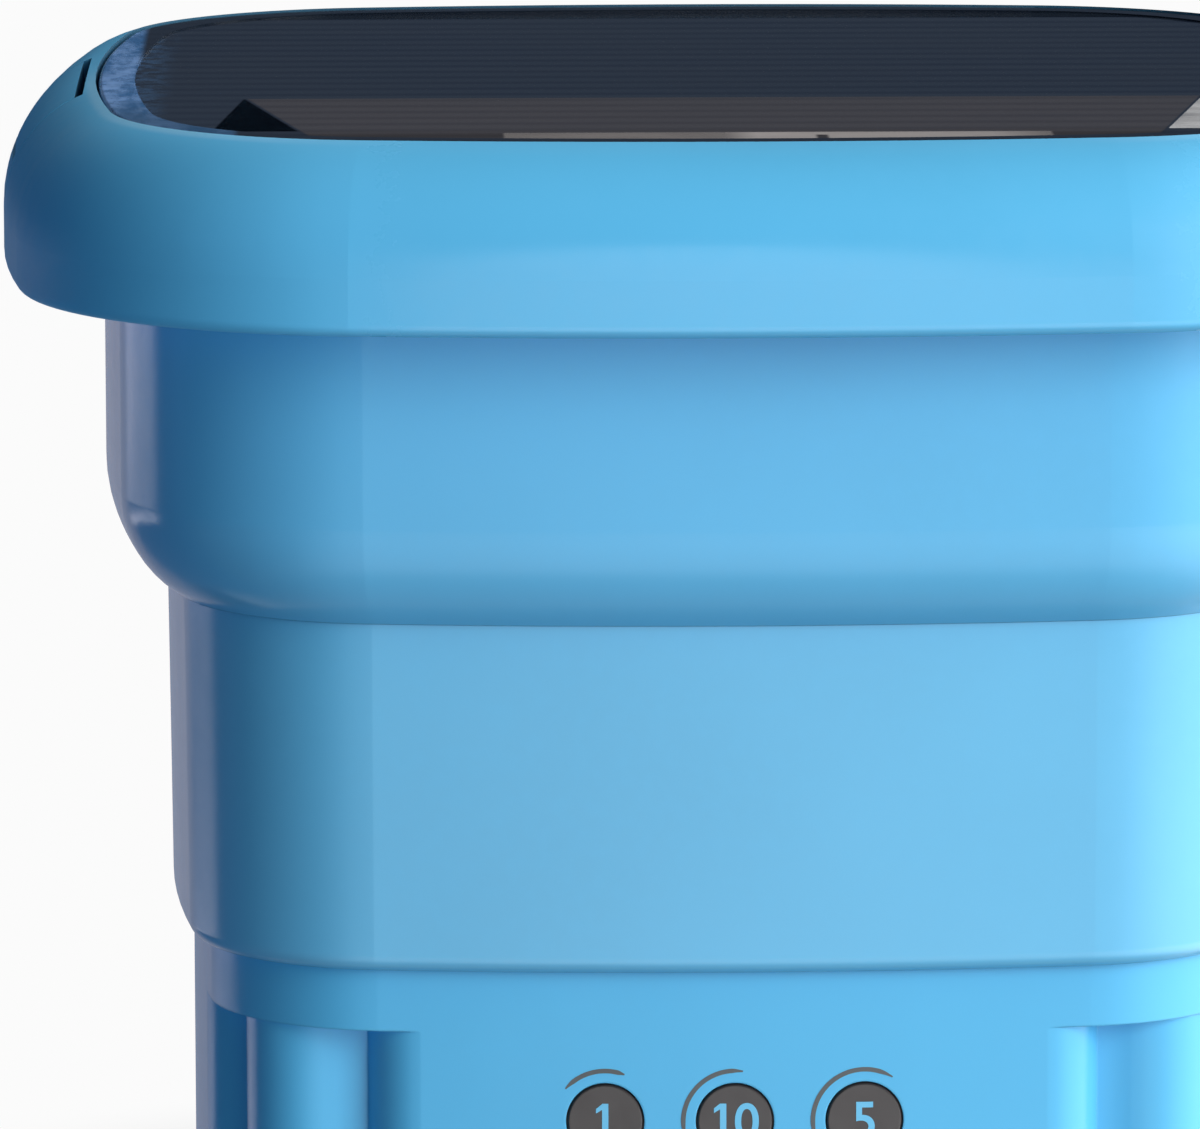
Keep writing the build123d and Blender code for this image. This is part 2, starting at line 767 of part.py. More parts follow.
# Base shell
with BuildPart() as base_shell:
    with BuildSketch(Plane.XY.offset(cover_bottom)):
        add(fluted_plan.sketch)
    extrude(amount=flute_top - cover_bottom)
    with BuildSketch(Plane.XY.offset(flute_top)):
        make_face(tub_line(base_inset))
    extrude(amount=base_top - flute_top)
    with BuildSketch(Plane.XY.offset(cover_bottom)):
        add(inside_plan.sketch)
    extrude(amount=flute_top + hard_wall - cover_bottom, mode=Mode.SUBTRACT)
    with BuildSketch(Plane.XY.offset(flute_top + hard_wall)):
        make_face(tub_line(base_inset + hard_wall))
    extrude(amount=base_top, mode=Mode.SUBTRACT)
    for key_plane in key_planes:
        with Locations(key_plane):
            Cylinder(key_radius + fit_gap, 4 * hard_wall, mode=Mode.SUBTRACT)
    with BuildSketch(Plane.XZ.offset(board_front)):
        with Locations(*boss_places):
            Circle(board_boss_radius)
    extrude(until=Until.NEXT)
    with BuildSketch(Plane.XZ.offset(board_front)):
        with Locations(*boss_places):
            Circle(board_screw_radius)
    extrude(amount=board_screw_length - board_thickness, mode=Mode.SUBTRACT)
    with Locations(*[(x, y, cover_top) for x, y in post_places]):
        Cylinder(post_radius, post_top - cover_top, align=above)
        Cylinder(cover_screw_radius, cover_screw_length, align=above, mode=Mode.SUBTRACT)
    with BuildSketch(Plane.XZ.offset(-outlet_pad_place)):
        with Locations((drain_x, outlet_height), (jack_x, outlet_height)):
            Circle(outlet_pad_radius)
    extrude(amount=outlet_pad_depth)
    with BuildSketch(Plane.XZ.offset(-outlet_pad_place)):
        with Locations((drain_x, outlet_height)):
            Circle(pipe_radius)
        with Locations((jack_x, outlet_height)):
            Circle(jack_body_radius)
    extrude(amount=2 * outlet_pad_depth, mode=Mode.SUBTRACT)
base_shell.part.label = "base_shell"
export_step(base_shell.part, "parts/base_shell.step")

# Base cover
foot_places = [(foot_place * x, foot_place * y) for x, y in corners]
with BuildPart() as base_cover:
    with BuildSketch(Plane.XY.offset(cover_bottom)):
        add(cover_plan.sketch)
        with Locations(*post_places):
            Circle(cover_screw_radius + fit_gap, mode=Mode.SUBTRACT)
        with Locations(*foot_places):
            Circle(foot_stud_radius, mode=Mode.SUBTRACT)
    extrude(amount=cover_thickness)
base_cover.part.label = "base_cover"
export_step(base_cover.part, "parts/base_cover.step")

# Cover screws, their heads under the cover and clear of the floor
with BuildPart() as cover_screws:
    with Locations(*[(x, y, cover_bottom) for x, y in post_places]):
        Cylinder(cover_screw_head_radius, cover_screw_head_height, align=below)
        Cylinder(cover_screw_radius, cover_screw_length, align=above)
cover_screws.part.label = "cover_screws"
export_step(cover_screws.part, "parts/cover_screws.step")

# Four rubber feet with studs through the cover
foot_names = ["foot_back_right", "foot_back_left", "foot_front_left", "foot_front_right"]
for name, place in zip(foot_names, foot_places):
    with BuildPart() as foot:
        with Locations(place):
            Cone(foot_radius - foot_taper, foot_radius, foot_height, align=above)
            Cylinder(foot_stud_radius, cover_top + foot_stud_height, align=above)
    foot.part.label = name
    export_step(foot.part, "parts/" + name + ".step")

# Three programme keys, flush with the front panel
key_names = ["key_1", "key_10", "key_5"]
for name, key_plane in zip(key_names, key_planes):
    with BuildPart() as key:
        with BuildSketch(key_plane):
            Circle(key_radius)
        extrude(amount=-hard_wall - fit_gap)
        chamfer(key.faces().sort_by(Axis.Y)[0].edges(), key_edge_chamfer)
        with BuildSketch(key_plane.offset(-hard_wall - fit_gap)):
            Circle(key_flange_radius)
        extrude(amount=-key_flange_thickness)
        with BuildSketch(key_plane.offset(-hard_wall - fit_gap)):
            Circle(key_stem_radius)
        stem_end = -key_plane.origin.Y - switch_front - key_travel - switch_gap
        extrude(amount=hard_wall + fit_gap - stem_end)
    key.part.label = name
    export_step(key.part, "parts/" + name + ".step")

# Control board
with BuildPart() as control_board:
    with BuildSketch(Plane.XZ.offset(board_front - board_thickness)):
        with Locations((0, (board_bottom + board_top) / 2)):
            RectangleRounded(2 * board_half_width, board_top - board_bottom, board_corner)
        with Locations(*boss_places):
            Circle(board_screw_radius + fit_gap, mode=Mode.SUBTRACT)
    extrude(amount=board_thickness)
control_board.part.label = "control_board"
export_step(control_board.part, "parts/control_board.step")

# Key switches on the board
with BuildPart() as key_switches:
    for key_plane in key_planes:
        with BuildSketch(Plane.XZ.offset(board_front)):
            with Locations((key_plane.origin.X, key_height)):
                Rectangle(switch_size, switch_size)
        extrude(amount=switch_height)
        with BuildSketch(Plane.XZ.offset(board_front + switch_height)):
            with Locations((key_plane.origin.X, key_height)):
                Circle(plunger_radius)
        extrude(amount=plunger_height)
key_switches.part.label = "key_switches"
export_step(key_switches.part, "parts/key_switches.step")

# Screws that hold the board
with BuildPart() as board_screws:
    with BuildSketch(Plane.XZ.offset(board_front - board_thickness)):
        with Locations(*boss_places):
            Circle(board_screw_radius)
    extrude(amount=board_screw_length)
    with BuildSketch(Plane.XZ.offset(board_front - board_thickness)):
        with Locations(*boss_places):
            Circle(board_screw_head_radius)
    extrude(amount=-board_screw_head_height)
board_screws.part.label = "board_screws"
export_step(board_screws.part, "parts/board_screws.step")

# Connectors on the back of the board
with BuildPart() as board_connectors:
    with BuildSketch(Plane.XZ.offset(board_front - board_thickness)):
        with Locations((-connector_place, connector_middle), (connector_place, connector_middle)):
            Rectangle(connector_width, connector_height)
    extrude(amount=-connector_depth)
board_connectors.part.label = "board_connectors"
export_step(board_connectors.part, "parts/board_connectors.step")

# Motor can, closed below with a boss for the lower bearing
with BuildPart() as motor_can:
    with Locations((0, 0, can_bottom)):
        Cylinder(can_radius, can_top - can_bottom, align=above)
    with Locations((0, 0, can_bottom + can_wall)):
        Cylinder(can_radius - can_wall, can_top, align=above, mode=Mode.SUBTRACT)
        Cylinder(can_boss_radius, can_boss_height, align=above)
        Cylinder(bearing_radius, can_top, align=above, mode=Mode.SUBTRACT)
motor_can.part.label = "motor_can"
export_step(motor_can.part, "parts/motor_can.step")

# Motor bracket with the upper bearing's hub
with BuildPart() as motor_bracket:
    with BuildSketch(Plane.XY.offset(can_top)):
        RectangleRounded(2 * bracket_half_width, 2 * bracket_half_width, bracket_corner)
        with GridLocations(2 * motor_screw_place, 2 * motor_screw_place, 2, 2):
            Circle(motor_screw_radius + fit_gap, mode=Mode.SUBTRACT)
    extrude(amount=bracket_thickness)
    with Locations((0, 0, bracket_top)):
        Cylinder(bracket_hub_radius, bracket_hub_height, align=above)
    with Locations((0, 0, can_top)):
        Cylinder(bracket_lip_radius, bracket_lip, align=above, mode=Mode.SUBTRACT)
    with Locations((0, 0, can_top + bracket_lip)):
        Cylinder(bearing_radius, can_top, align=above, mode=Mode.SUBTRACT)
motor_bracket.part.label = "motor_bracket"
export_step(motor_bracket.part, "parts/motor_bracket.step")

# Screws that hold the bracket to the tub's standoffs
with BuildPart() as motor_screws:
    with Locations((0, 0, can_top)):
        with GridLocations(2 * motor_screw_place, 2 * motor_screw_place, 2, 2):
            Cylinder(motor_screw_head_radius, motor_screw_head_height, align=below)
            Cylinder(motor_screw_radius, bracket_thickness + motor_screw_length, align=above)
motor_screws.part.label = "motor_screws"
export_step(motor_screws.part, "parts/motor_screws.step")

# Stator
with BuildPart() as motor_stator:
    with Locations((0, 0, stator_bottom)):
        Cylinder(can_radius - can_wall, stator_top - stator_bottom, align=above)
        Cylinder(stator_bore, stator_top, align=above, mode=Mode.SUBTRACT)
motor_stator.part.label = "motor_stator"
export_step(motor_stator.part, "parts/motor_stator.step")

# Rotor
with BuildPart() as motor_rotor:
    with Locations((0, 0, stator_bottom + rotor_end_gap)):
        Cylinder(stator_bore - air_gap, stator_top - stator_bottom - 2 * rotor_end_gap, align=above)
        Cylinder(shaft_radius, stator_top, align=above, mode=Mode.SUBTRACT)
motor_rotor.part.label = "motor_rotor"
export_step(motor_rotor.part, "parts/motor_rotor.step")

# Drive shaft, tapped at the top for the pulsator's screw
with BuildPart() as drive_shaft:
    with Locations((0, 0, shaft_bottom)):
        Cylinder(shaft_radius, shaft_top - shaft_bottom, align=above)
    with Locations((0, 0, cap_bottom - cap_screw_length)):
        Cylinder(cap_screw_radius, cap_screw_length, align=above, mode=Mode.SUBTRACT)
drive_shaft.part.label = "drive_shaft"
export_step(drive_shaft.part, "parts/drive_shaft.step")

# Bearings
with BuildPart() as lower_bearing:
    with Locations((0, 0, can_bottom + can_wall)):
        Cylinder(bearing_radius, bearing_width, align=above)
        Cylinder(shaft_radius + bearing_gap, bearing_width, align=above, mode=Mode.SUBTRACT)
lower_bearing.part.label = "lower_bearing"
export_step(lower_bearing.part, "parts/lower_bearing.step")

with BuildPart() as upper_bearing:
    with Locations((0, 0, can_top + bracket_lip)):
        Cylinder(bearing_radius, bearing_width, align=above)
        Cylinder(shaft_radius + bearing_gap, bearing_width, align=above, mode=Mode.SUBTRACT)
upper_bearing.part.label = "upper_bearing"
export_step(upper_bearing.part, "parts/upper_bearing.step")

# Shaft seal in the tub floor
with BuildPart() as shaft_seal:
    with Locations((0, 0, tub_floor_top - seal_height)):
        Cylinder(seal_radius, seal_height, align=above)
        Cylinder(shaft_radius + bearing_gap, seal_height, align=above, mode=Mode.SUBTRACT)
shaft_seal.part.label = "shaft_seal"
export_step(shaft_seal.part, "parts/shaft_seal.step")

# One curved vane of the pulsator, its top sloping down and outwards
with BuildPart() as vane:
    with BuildSketch(Plane.XY.offset(pulsator_bottom)):
        with BuildLine() as vane_line:
            vane_tip = Vector(vane_end, 0).rotate(Axis.Z, vane_sweep / 2)
            vane_foot = Vector(vane_start, 0).rotate(Axis.Z, -vane_sweep / 2)
            vane_bow = Vector((vane_start + vane_end) / 2, 0).rotate(Axis.Z, -vane_sweep / 4)
            ThreePointArc(vane_foot, vane_bow, vane_tip)
        trace(vane_line.line, vane_thickness)
        with Locations(vane_tip):
            Circle(vane_thickness / 2)
    extrude(amount=vane_inner_top)
    with BuildSketch(Plane.XZ):
        with BuildLine():
            Polyline(
                (0, pulsator_bottom),
                (pulsator_radius, pulsator_bottom),
                (pulsator_radius, vane_outer_top),
                (0, vane_inner_top),
                close=True,
            )
        make_face()
    extrude(amount=pulsator_radius, both=True, mode=Mode.INTERSECT)

# Pulsator
with BuildPart() as pulsator:
    with BuildSketch(Plane.XZ):
        with BuildLine():
            hub_foot = (hub_dome_radius, pulsator_top + pulsator_rise)
            dome = ThreePointArc(hub_foot, hub_shoulder, (cap_radius + fit_gap, hub_dome_height))
            Polyline(
                dome @ 1,
                (cap_radius + fit_gap, cap_bottom),
                (shaft_radius, cap_bottom),
                (shaft_radius, hub_socket_top),
                (hub_socket_radius, hub_socket_top),
                (hub_socket_radius, pulsator_bottom),
                (pulsator_radius - edge_round, pulsator_bottom),
                (pulsator_radius, pulsator_bottom + edge_round),
                (pulsator_radius - edge_round, pulsator_top),
                dome @ 0,
            )
        make_face()
    revolve(axis=Axis.Z)
    with BuildSketch(Plane.XY.offset(pulsator_bottom)):
        with PolarLocations(water_hole_place, vane_count, water_hole_turn):
            Circle(water_hole_radius)
        with PolarLocations(water_hole_place / 2 + water_hole_radius, vane_count, water_hole_turn):
            Circle(water_hole_radius)
    extrude(amount=pulsator_top, mode=Mode.SUBTRACT)
    with PolarLocations(0, vane_count):
        add(vane.part)
    with Locations((0, 0, pulsator_bottom)):
        Cylinder(hub_socket_radius, hub_socket_top - pulsator_bottom, align=above, mode=Mode.SUBTRACT)
    with Locations((0, 0, cap_bottom)):
        Cylinder(cap_radius + fit_gap, cap_bottom, align=above, mode=Mode.SUBTRACT)
    Cylinder(shaft_radius, 2 * cap_bottom, mode=Mode.SUBTRACT)
pulsator.part.label = "pulsator"
export_step(pulsator.part, "parts/pulsator.step")

# Cap screw that holds the pulsator on the shaft
with BuildPart() as cap_screw:
    with Locations((0, 0, cap_bottom)):
        Cylinder(cap_radius, cap_height, align=above)
        Cylinder(cap_screw_radius, cap_screw_length, align=below)
    chamfer(cap_screw.faces().sort_by(Axis.Z)[-1].edges(), cap_chamfer)
    with BuildSketch(Plane.XY.offset(cap_bottom + cap_height)):
        Rectangle(1.5 * cap_radius, cap_slot_width)
    extrude(amount=-cap_slot_depth, mode=Mode.SUBTRACT)
cap_screw.part.label = "cap_screw"
export_step(cap_screw.part, "parts/cap_screw.step")

# Drain stopper with a knob
with BuildPart() as drain_stopper:
    stopper_seat = tub_floor_top + stopper_lift
    with Locations((drain_x, drain_y, stopper_seat - stopper_depth)):
        Cone(stopper_radius - stopper_taper, stopper_radius, stopper_depth, align=above)
    with Locations((drain_x, drain_y, stopper_seat)):
        Cylinder(stopper_flange_radius, stopper_flange_thickness, align=above)
    chamfer(drain_stopper.faces().sort_by(Axis.Z)[-1].edges(), stopper_chamfer)
    neck_bottom = stopper_seat + stopper_flange_thickness
    with Locations((drain_x, drain_y, neck_bottom)):
        Cylinder(stopper_neck_radius, stopper_neck_height, align=above)
    with Locations((drain_x, drain_y, neck_bottom + stopper_neck_height)):
        Cylinder(stopper_knob_radius, stopper_knob_height, align=above)
    chamfer(drain_stopper.faces().sort_by(Axis.Z)[-1].edges(), stopper_chamfer)
drain_stopper.part.label = "drain_stopper"
export_step(drain_stopper.part, "parts/drain_stopper.step")

# Gasket between the tub floor and the drain elbow
with BuildPart() as drain_gasket:
    with Locations((drain_x, drain_y, tub_floor_height - drain_gasket_thickness)):
        Cylinder(funnel_radius, drain_gasket_thickness, align=above)
        Cylinder(funnel_bore_radius, drain_gasket_thickness, align=above, mode=Mode.SUBTRACT)
drain_gasket.part.label = "drain_gasket"
export_step(drain_gasket.part, "parts/drain_gasket.step")

# Drain elbow: a cup under the floor and a pipe that bends to the back
with BuildPart() as drain_elbow:
    cup_top = tub_floor_height - drain_gasket_thickness
    cup_bottom = cup_top - funnel_height
    with Locations((drain_x, drain_y, cup_bottom)):
        Cylinder(funnel_radius, funnel_height, align=above)
    with BuildLine() as pipe_path:
        FilletPolyline(
            (drain_x, drain_y, cup_bottom + overrun),
            (drain_x, drain_y, outlet_height),
            (drain_x, spigot_start, outlet_height),
            radius=pipe_bend_radius,
        )
    with BuildSketch(Plane.XY.offset(cup_bottom + overrun)):
        with Locations((drain_x, drain_y)):
            Circle(pipe_radius)
    sweep(path=pipe_path.line)
    with BuildSketch(Plane.XY.offset(cup_bottom + overrun)):
        with Locations((drain_x, drain_y)):
            Circle(pipe_bore_radius)
    sweep(path=pipe_path.line, mode=Mode.SUBTRACT)
    with Locations((drain_x, drain_y, cup_bottom + overrun)):
        Cone(pipe_bore_radius, funnel_bore_radius, funnel_cone_height, align=above, mode=Mode.SUBTRACT)
    with Locations((drain_x, drain_y, cup_bottom + overrun + funnel_cone_height)):
        Cylinder(funnel_bore_radius, funnel_height, align=above, mode=Mode.SUBTRACT)
drain_elbow.part.label = "drain_elbow"
export_step(drain_elbow.part, "parts/drain_elbow.step")

# Drain spigot at the back, for a hose
with BuildPart() as drain_spigot:
    with BuildSketch(Plane.XZ.offset(-spigot_start)):
        with Locations((drain_x, outlet_height)):
            Circle(pipe_radius)
    extrude(amount=spigot_start - spigot_end)
    with BuildSketch(Plane.XZ.offset(-outlet_pad_place)):
        with Locations((drain_x, outlet_height)):
            Circle(spigot_flange_radius)
    extrude(amount=-spigot_flange_thickness)
    with BuildSketch(Plane.XZ.offset(-spigot_start)):
        with Locations((drain_x, outlet_height)):
            Circle(pipe_bore_radius)
    extrude(amount=spigot_start - spigot_end, mode=Mode.SUBTRACT)
drain_spigot.part.label = "drain_spigot"
export_step(drain_spigot.part, "parts/drain_spigot.step")

# Power jack at the back
with BuildPart() as power_jack:
    with BuildSketch(Plane.XZ.offset(-jack_rear)):
        with Locations((jack_x, outlet_height)):
            Circle(jack_body_radius)
    extrude(amount=jack_rear - outlet_pad_place)
    with BuildSketch(Plane.XZ.offset(-outlet_pad_place)):
        with Locations((jack_x, outlet_height)):
            Circle(jack_flange_radius)
    extrude(amount=-jack_flange_thickness)
    with BuildSketch(Plane.XZ.offset(-outlet_pad_place - jack_flange_thickness)):
        with Locations((jack_x, outlet_height)):
            Circle(jack_bore_radius)
    extrude(amount=jack_bore_depth, mode=Mode.SUBTRACT)
power_jack.part.label = "power_jack"
export_step(power_jack.part, "parts/power_jack.step")

# Leads from the jack and the motor to the board
with BuildPart() as power_lead:
    with BuildLine() as power_path:
        FilletPolyline(
            (jack_x, jack_rear, outlet_height),
            (jack_x, power_lead_turn - foot_place, outlet_height),
            (-connector_place, -lead_front, outlet_height + power_lead_rise),
            (-connector_place, -lead_front, connector_bottom),
            radius=lead_bend,
        )
    with BuildSketch(Plane(origin=power_path.line @ 0, z_dir=power_path.line % 0)):
        Circle(lead_radius)
    sweep(path=power_path.line)
power_lead.part.label = "power_lead"
export_step(power_lead.part, "parts/power_lead.step")

with BuildPart() as motor_lead:
    with BuildLine() as motor_path:
        FilletPolyline(
            (motor_lead_x, motor_lead_y, can_bottom),
            (motor_lead_x, motor_lead_y, can_bottom - motor_lead_drop),
            (connector_place, -lead_front, can_bottom - motor_lead_drop + motor_lead_rise),
            (connector_place, -lead_front, connector_bottom),
            radius=motor_lead_bend,
        )
    with BuildSketch(Plane(origin=motor_path.line @ 0, z_dir=motor_path.line % 0)):
        Circle(lead_radius)
    sweep(path=motor_path.line)
motor_lead.part.label = "motor_lead"
export_step(motor_lead.part, "parts/motor_lead.step")
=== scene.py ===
import bpy
from math import asin, cos, pi, radians, sin
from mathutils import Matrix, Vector


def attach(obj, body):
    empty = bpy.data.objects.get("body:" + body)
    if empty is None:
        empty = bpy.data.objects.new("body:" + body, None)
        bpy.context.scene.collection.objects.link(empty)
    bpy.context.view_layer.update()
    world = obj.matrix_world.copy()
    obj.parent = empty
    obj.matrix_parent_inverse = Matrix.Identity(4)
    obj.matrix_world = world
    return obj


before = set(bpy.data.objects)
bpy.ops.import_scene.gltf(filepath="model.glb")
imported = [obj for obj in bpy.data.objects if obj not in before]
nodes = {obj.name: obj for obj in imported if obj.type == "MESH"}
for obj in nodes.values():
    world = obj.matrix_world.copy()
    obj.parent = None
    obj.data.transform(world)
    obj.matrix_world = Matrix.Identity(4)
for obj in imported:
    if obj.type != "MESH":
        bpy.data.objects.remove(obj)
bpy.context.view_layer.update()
scene = bpy.context.scene

# The base's front panel in metres, as in the source: its bow, and the middle of the bow behind the
# tub's own middle
HALF = 0.140
SIDE_R = 0.560
PANEL_INSET = 0.036
BOW_Y = SIDE_R - HALF
PANEL_R = SIDE_R - PANEL_INSET

# The photograph's frame, and the camera's reach and middle in its pixels
PHOTO_WIDTH = 1200.0
PHOTO_MIDDLE = (600.0, 564.5)
FOCAL_PIXELS = 10084.4
AIM_PIXELS = (716.8, 552.9)
SENSOR = 36.0
CAMERA_DISTANCE = 2.0


# ---------------------------------------------------------------- camera
def make_camera():
    """A camera at the photograph's viewing angle."""
    azimuth = radians(-1.9)
    elevation = radians(9.1)
    target = Vector((0.0, 0.0, 0.160))
    away = Vector((sin(azimuth) * cos(elevation), -cos(azimuth) * cos(elevation), sin(elevation)))
    data = bpy.data.cameras.new("photo_camera")
    data.sensor_fit = "HORIZONTAL"
    data.sensor_width = SENSOR
    data.lens = FOCAL_PIXELS * SENSOR / PHOTO_WIDTH
    data.clip_start = 0.05
    data.clip_end = 60.0
    data.shift_x = (PHOTO_MIDDLE[0] - AIM_PIXELS[0]) / PHOTO_WIDTH
    data.shift_y = (AIM_PIXELS[1] - PHOTO_MIDDLE[1]) / PHOTO_WIDTH
    camera = bpy.data.objects.new("photo_camera", data)
    scene.collection.objects.link(camera)
    camera.location = target + CAMERA_DISTANCE * away
    camera.rotation_euler = (target - camera.location).to_track_quat("-Z", "Y").to_euler()
    scene.camera = camera


make_camera()


# ---------------------------------------------------------------- node helpers
class Tree:
    """A short way to write shader nodes."""

    def __init__(self, tree, fresh=True):
        self.tree = tree
        if fresh:
            tree.nodes.clear()

    def add(self, kind, **sets):
        node = self.tree.nodes.new("ShaderNode" + kind)
        for key, value in sets.items():
            setattr(node, key, value)
        return node

    def link(self, source, target):
        self.tree.links.new(source, target)

    def put(self, socket, value):
        if isinstance(value, bpy.types.NodeSocket):
            self.link(value, socket)
        else:
            socket.default_value = value

    def math(self, operation, a, b=0.0, clamp=False):
        node = self.add("Math", operation=operation, use_clamp=clamp)
        self.put(node.inputs[0], a)
        self.put(node.inputs[1], b)
        return node.outputs[0]

    def times(self, a, b):
        return self.math("MULTIPLY", a, b)

    def plus(self, a, b):
        return self.math("ADD", a, b)

    def less(self, a, b):
        return self.math("SUBTRACT", a, b)

    def split(self, vector):
        node = self.add("SeparateXYZ")
        self.put(node.inputs[0], vector)
        return node.outputs

    def step(self, value, low, high, to_low=0.0, to_high=1.0):
        """A smooth step from to_low to to_high as the value goes from low to high."""
        node = self.add("MapRange", interpolation_type="SMOOTHSTEP")
        self.put(node.inputs[0], value)
        for index, number in enumerate((low, high, to_low, to_high), 1):
            self.put(node.inputs[index], number)
        return node.outputs[0]

    def line(self, value, points):
        """A line through (place, height) points, level beyond its ends, as a sum of straight pieces."""
        total = points[0][1]
        for (x0, y0), (x1, y1) in zip(points, points[1:]):
            node = self.add("MapRange", interpolation_type="LINEAR", clamp=True)
            self.put(node.inputs[0], value)
            for index, number in enumerate((x0, x1, 0.0, y1 - y0), 1):
                self.put(node.inputs[index], number)
            total = self.plus(node.outputs[0], total)
        return total

    def join(self, x, y, z):
        node = self.add("CombineXYZ")
        for socket, value in zip(node.inputs, (x, y, z)):
            self.put(socket, value)
        return node.outputs[0]

    def between(self, value, low, high, soft):
        """One between low and high, and nothing outside, with soft ends."""
        above = self.step(value, low - soft, low + soft)
        return self.times(above, self.step(value, high + soft, high - soft))

    def noise(self, where, scale, detail=2.0, roughness=0.5):
        node = self.add("TexNoise")
        self.put(node.inputs["Vector"], where)
        node.inputs["Scale"].default_value = scale
        node.inputs["Detail"].default_value = detail
        node.inputs["Roughness"].default_value = roughness
        return node.outputs["Fac"]

    def mix(self, factor, a, b, blend="MIX"):
        node = self.add("Mix", data_type="RGBA", blend_type=blend)
        self.put(node.inputs[0], factor)
        self.put(node.inputs[6], a)
        self.put(node.inputs[7], b)
        return node.outputs[2]

    def bump(self, height, distance, strength=1.0, normal=None):
        node = self.add("Bump")
        node.inputs["Strength"].default_value = strength
        node.inputs["Distance"].default_value = distance
        self.put(node.inputs["Height"], height)
        if normal is not None:
            self.put(node.inputs["Normal"], normal)
        return node.outputs[0]


def rgba(colour):
    return (*colour, 1.0)


def scaled(colour, by):
    return tuple(min(1.0, c * by) for c in colour)


def start_material(name):
    """A new material with its nodes, its shader and the object's own coordinates."""
    material = bpy.data.materials.new(name)
    material.use_nodes = True
    tree = Tree(material.node_tree)
    out = tree.add("OutputMaterial")
    shader = tree.add("BsdfPrincipled")
    tree.link(shader.outputs[0], out.inputs[0])
    where = tree.add("TexCoord").outputs["Object"]
    return material, tree, shader, where


def moulded(
    name,
    colour,
    roughness=0.35,
    spread=0.05,
    grain=(5200.0, 0.00002),
    wave=(26.0, 0.00035),
    mottle=0.035,
    specular=0.5,
    bevel=0.0004,
):
    """Injection moulded plastic: a faint mottle, soft sink waves, mould grain and rounded edges."""
    material, t, shader, where = start_material(name)
    broad = t.noise(where, 9.0, 3.0)
    fine = t.noise(where, 260.0, 4.0, 0.6)
    dark = tuple(c * (1.0 - mottle) for c in colour)
    pale = scaled(colour, 1.0 + mottle)
    base = t.mix(t.step(broad, 0.3, 0.7), rgba(dark), rgba(pale))
    base = t.mix(t.step(fine, 0.35, 0.75, 0.0, 0.25), base, rgba(pale))
    t.put(shader.inputs["Base Color"], base)
    t.put(shader.inputs["Roughness"], t.step(fine, 0.3, 0.7, roughness - spread, roughness + spread))
    shader.inputs["Specular IOR Level"].default_value = specular
    normal = None
    if bevel:
        edge = t.add("Bevel", samples=4)
        edge.inputs["Radius"].default_value = bevel
        normal = edge.outputs[0]
    for (scale, depth), detail in ((wave, 1.0), (grain, 2.0)):
        normal = t.bump(t.noise(where, scale, detail), depth, 1.0, normal)
    t.put(shader.inputs["Normal"], normal)
    return material


def rim_finish_and_painted_light(material):
    """A painted highlight along the front of the lip's ends, painted shade in the gap between the lip
    and the lid, and ends that are duller than the middle."""
    t = Tree(material.node_tree, fresh=False)
    shader = t.tree.nodes["Principled BSDF"]
    colour = shader.inputs["Base Color"]
    roughness = shader.inputs["Roughness"]
    x, y, z = t.split(t.add("TexCoord").outputs["Object"])
    lip_low, lip_high = 0.2556, 0.2562
    # Painted highlight: a paler line along the top of the lip's front ends
    lip = t.times(t.step(z, lip_low, lip_high), t.step(t.math("ABSOLUTE", x), 0.055, 0.110))
    lip = t.times(lip, t.step(y, 0.020, -0.030))
    base = t.mix(t.times(lip, 0.55), colour.links[0].from_socket, (0.30, 0.62, 0.90, 1.0))
    # Painted shade on the inward-facing surfaces in the gap between the lip and the lid
    inward = t.add("VectorMath", operation="DOT_PRODUCT")
    t.put(inward.inputs[0], t.add("NewGeometry").outputs["Normal"])
    t.put(inward.inputs[1], t.join(x, y, 0.0))
    gap_low, gap_high = 0.246, 0.250
    gap = t.times(t.step(inward.outputs["Value"], -0.010, -0.045), t.step(z, gap_low, gap_high))
    t.put(colour, t.mix(t.times(gap, 0.85), base, (0.012, 0.035, 0.070, 1.0)))
    ends = t.math("MAXIMUM", t.step(x, -0.050, -0.098), t.step(x, 0.070, 0.110))
    t.put(shader.inputs["Specular IOR Level"], t.less(0.50, t.times(ends, 0.36)))
    t.put(roughness, t.plus(roughness.links[0].from_socket, t.times(ends, 0.28)))


def metal(name, colour, roughness=0.28, brush=(1.0, 1.0, 30.0)):
    """Machined or plated metal with fine tool marks."""
    material, t, shader, where = start_material(name)
    mapping = t.add("Mapping")
    t.put(mapping.inputs["Vector"], where)
    mapping.inputs["Scale"].default_value = brush
    marks = t.noise(mapping.outputs[0], 900.0, 5.0, 0.7)
    t.put(shader.inputs["Base Color"], t.mix(marks, rgba(scaled(colour, 0.88)), rgba(scaled(colour, 1.08))))
    shader.inputs["Metallic"].default_value = 1.0
    t.put(shader.inputs["Roughness"], t.step(marks, 0.2, 0.8, roughness - 0.08, roughness + 0.1))
    edge = t.add("Bevel", samples=4)
    edge.inputs["Radius"].default_value = 0.0002
    t.put(shader.inputs["Normal"], t.bump(marks, 0.00002, 0.6, edge.outputs[0]))
    return material


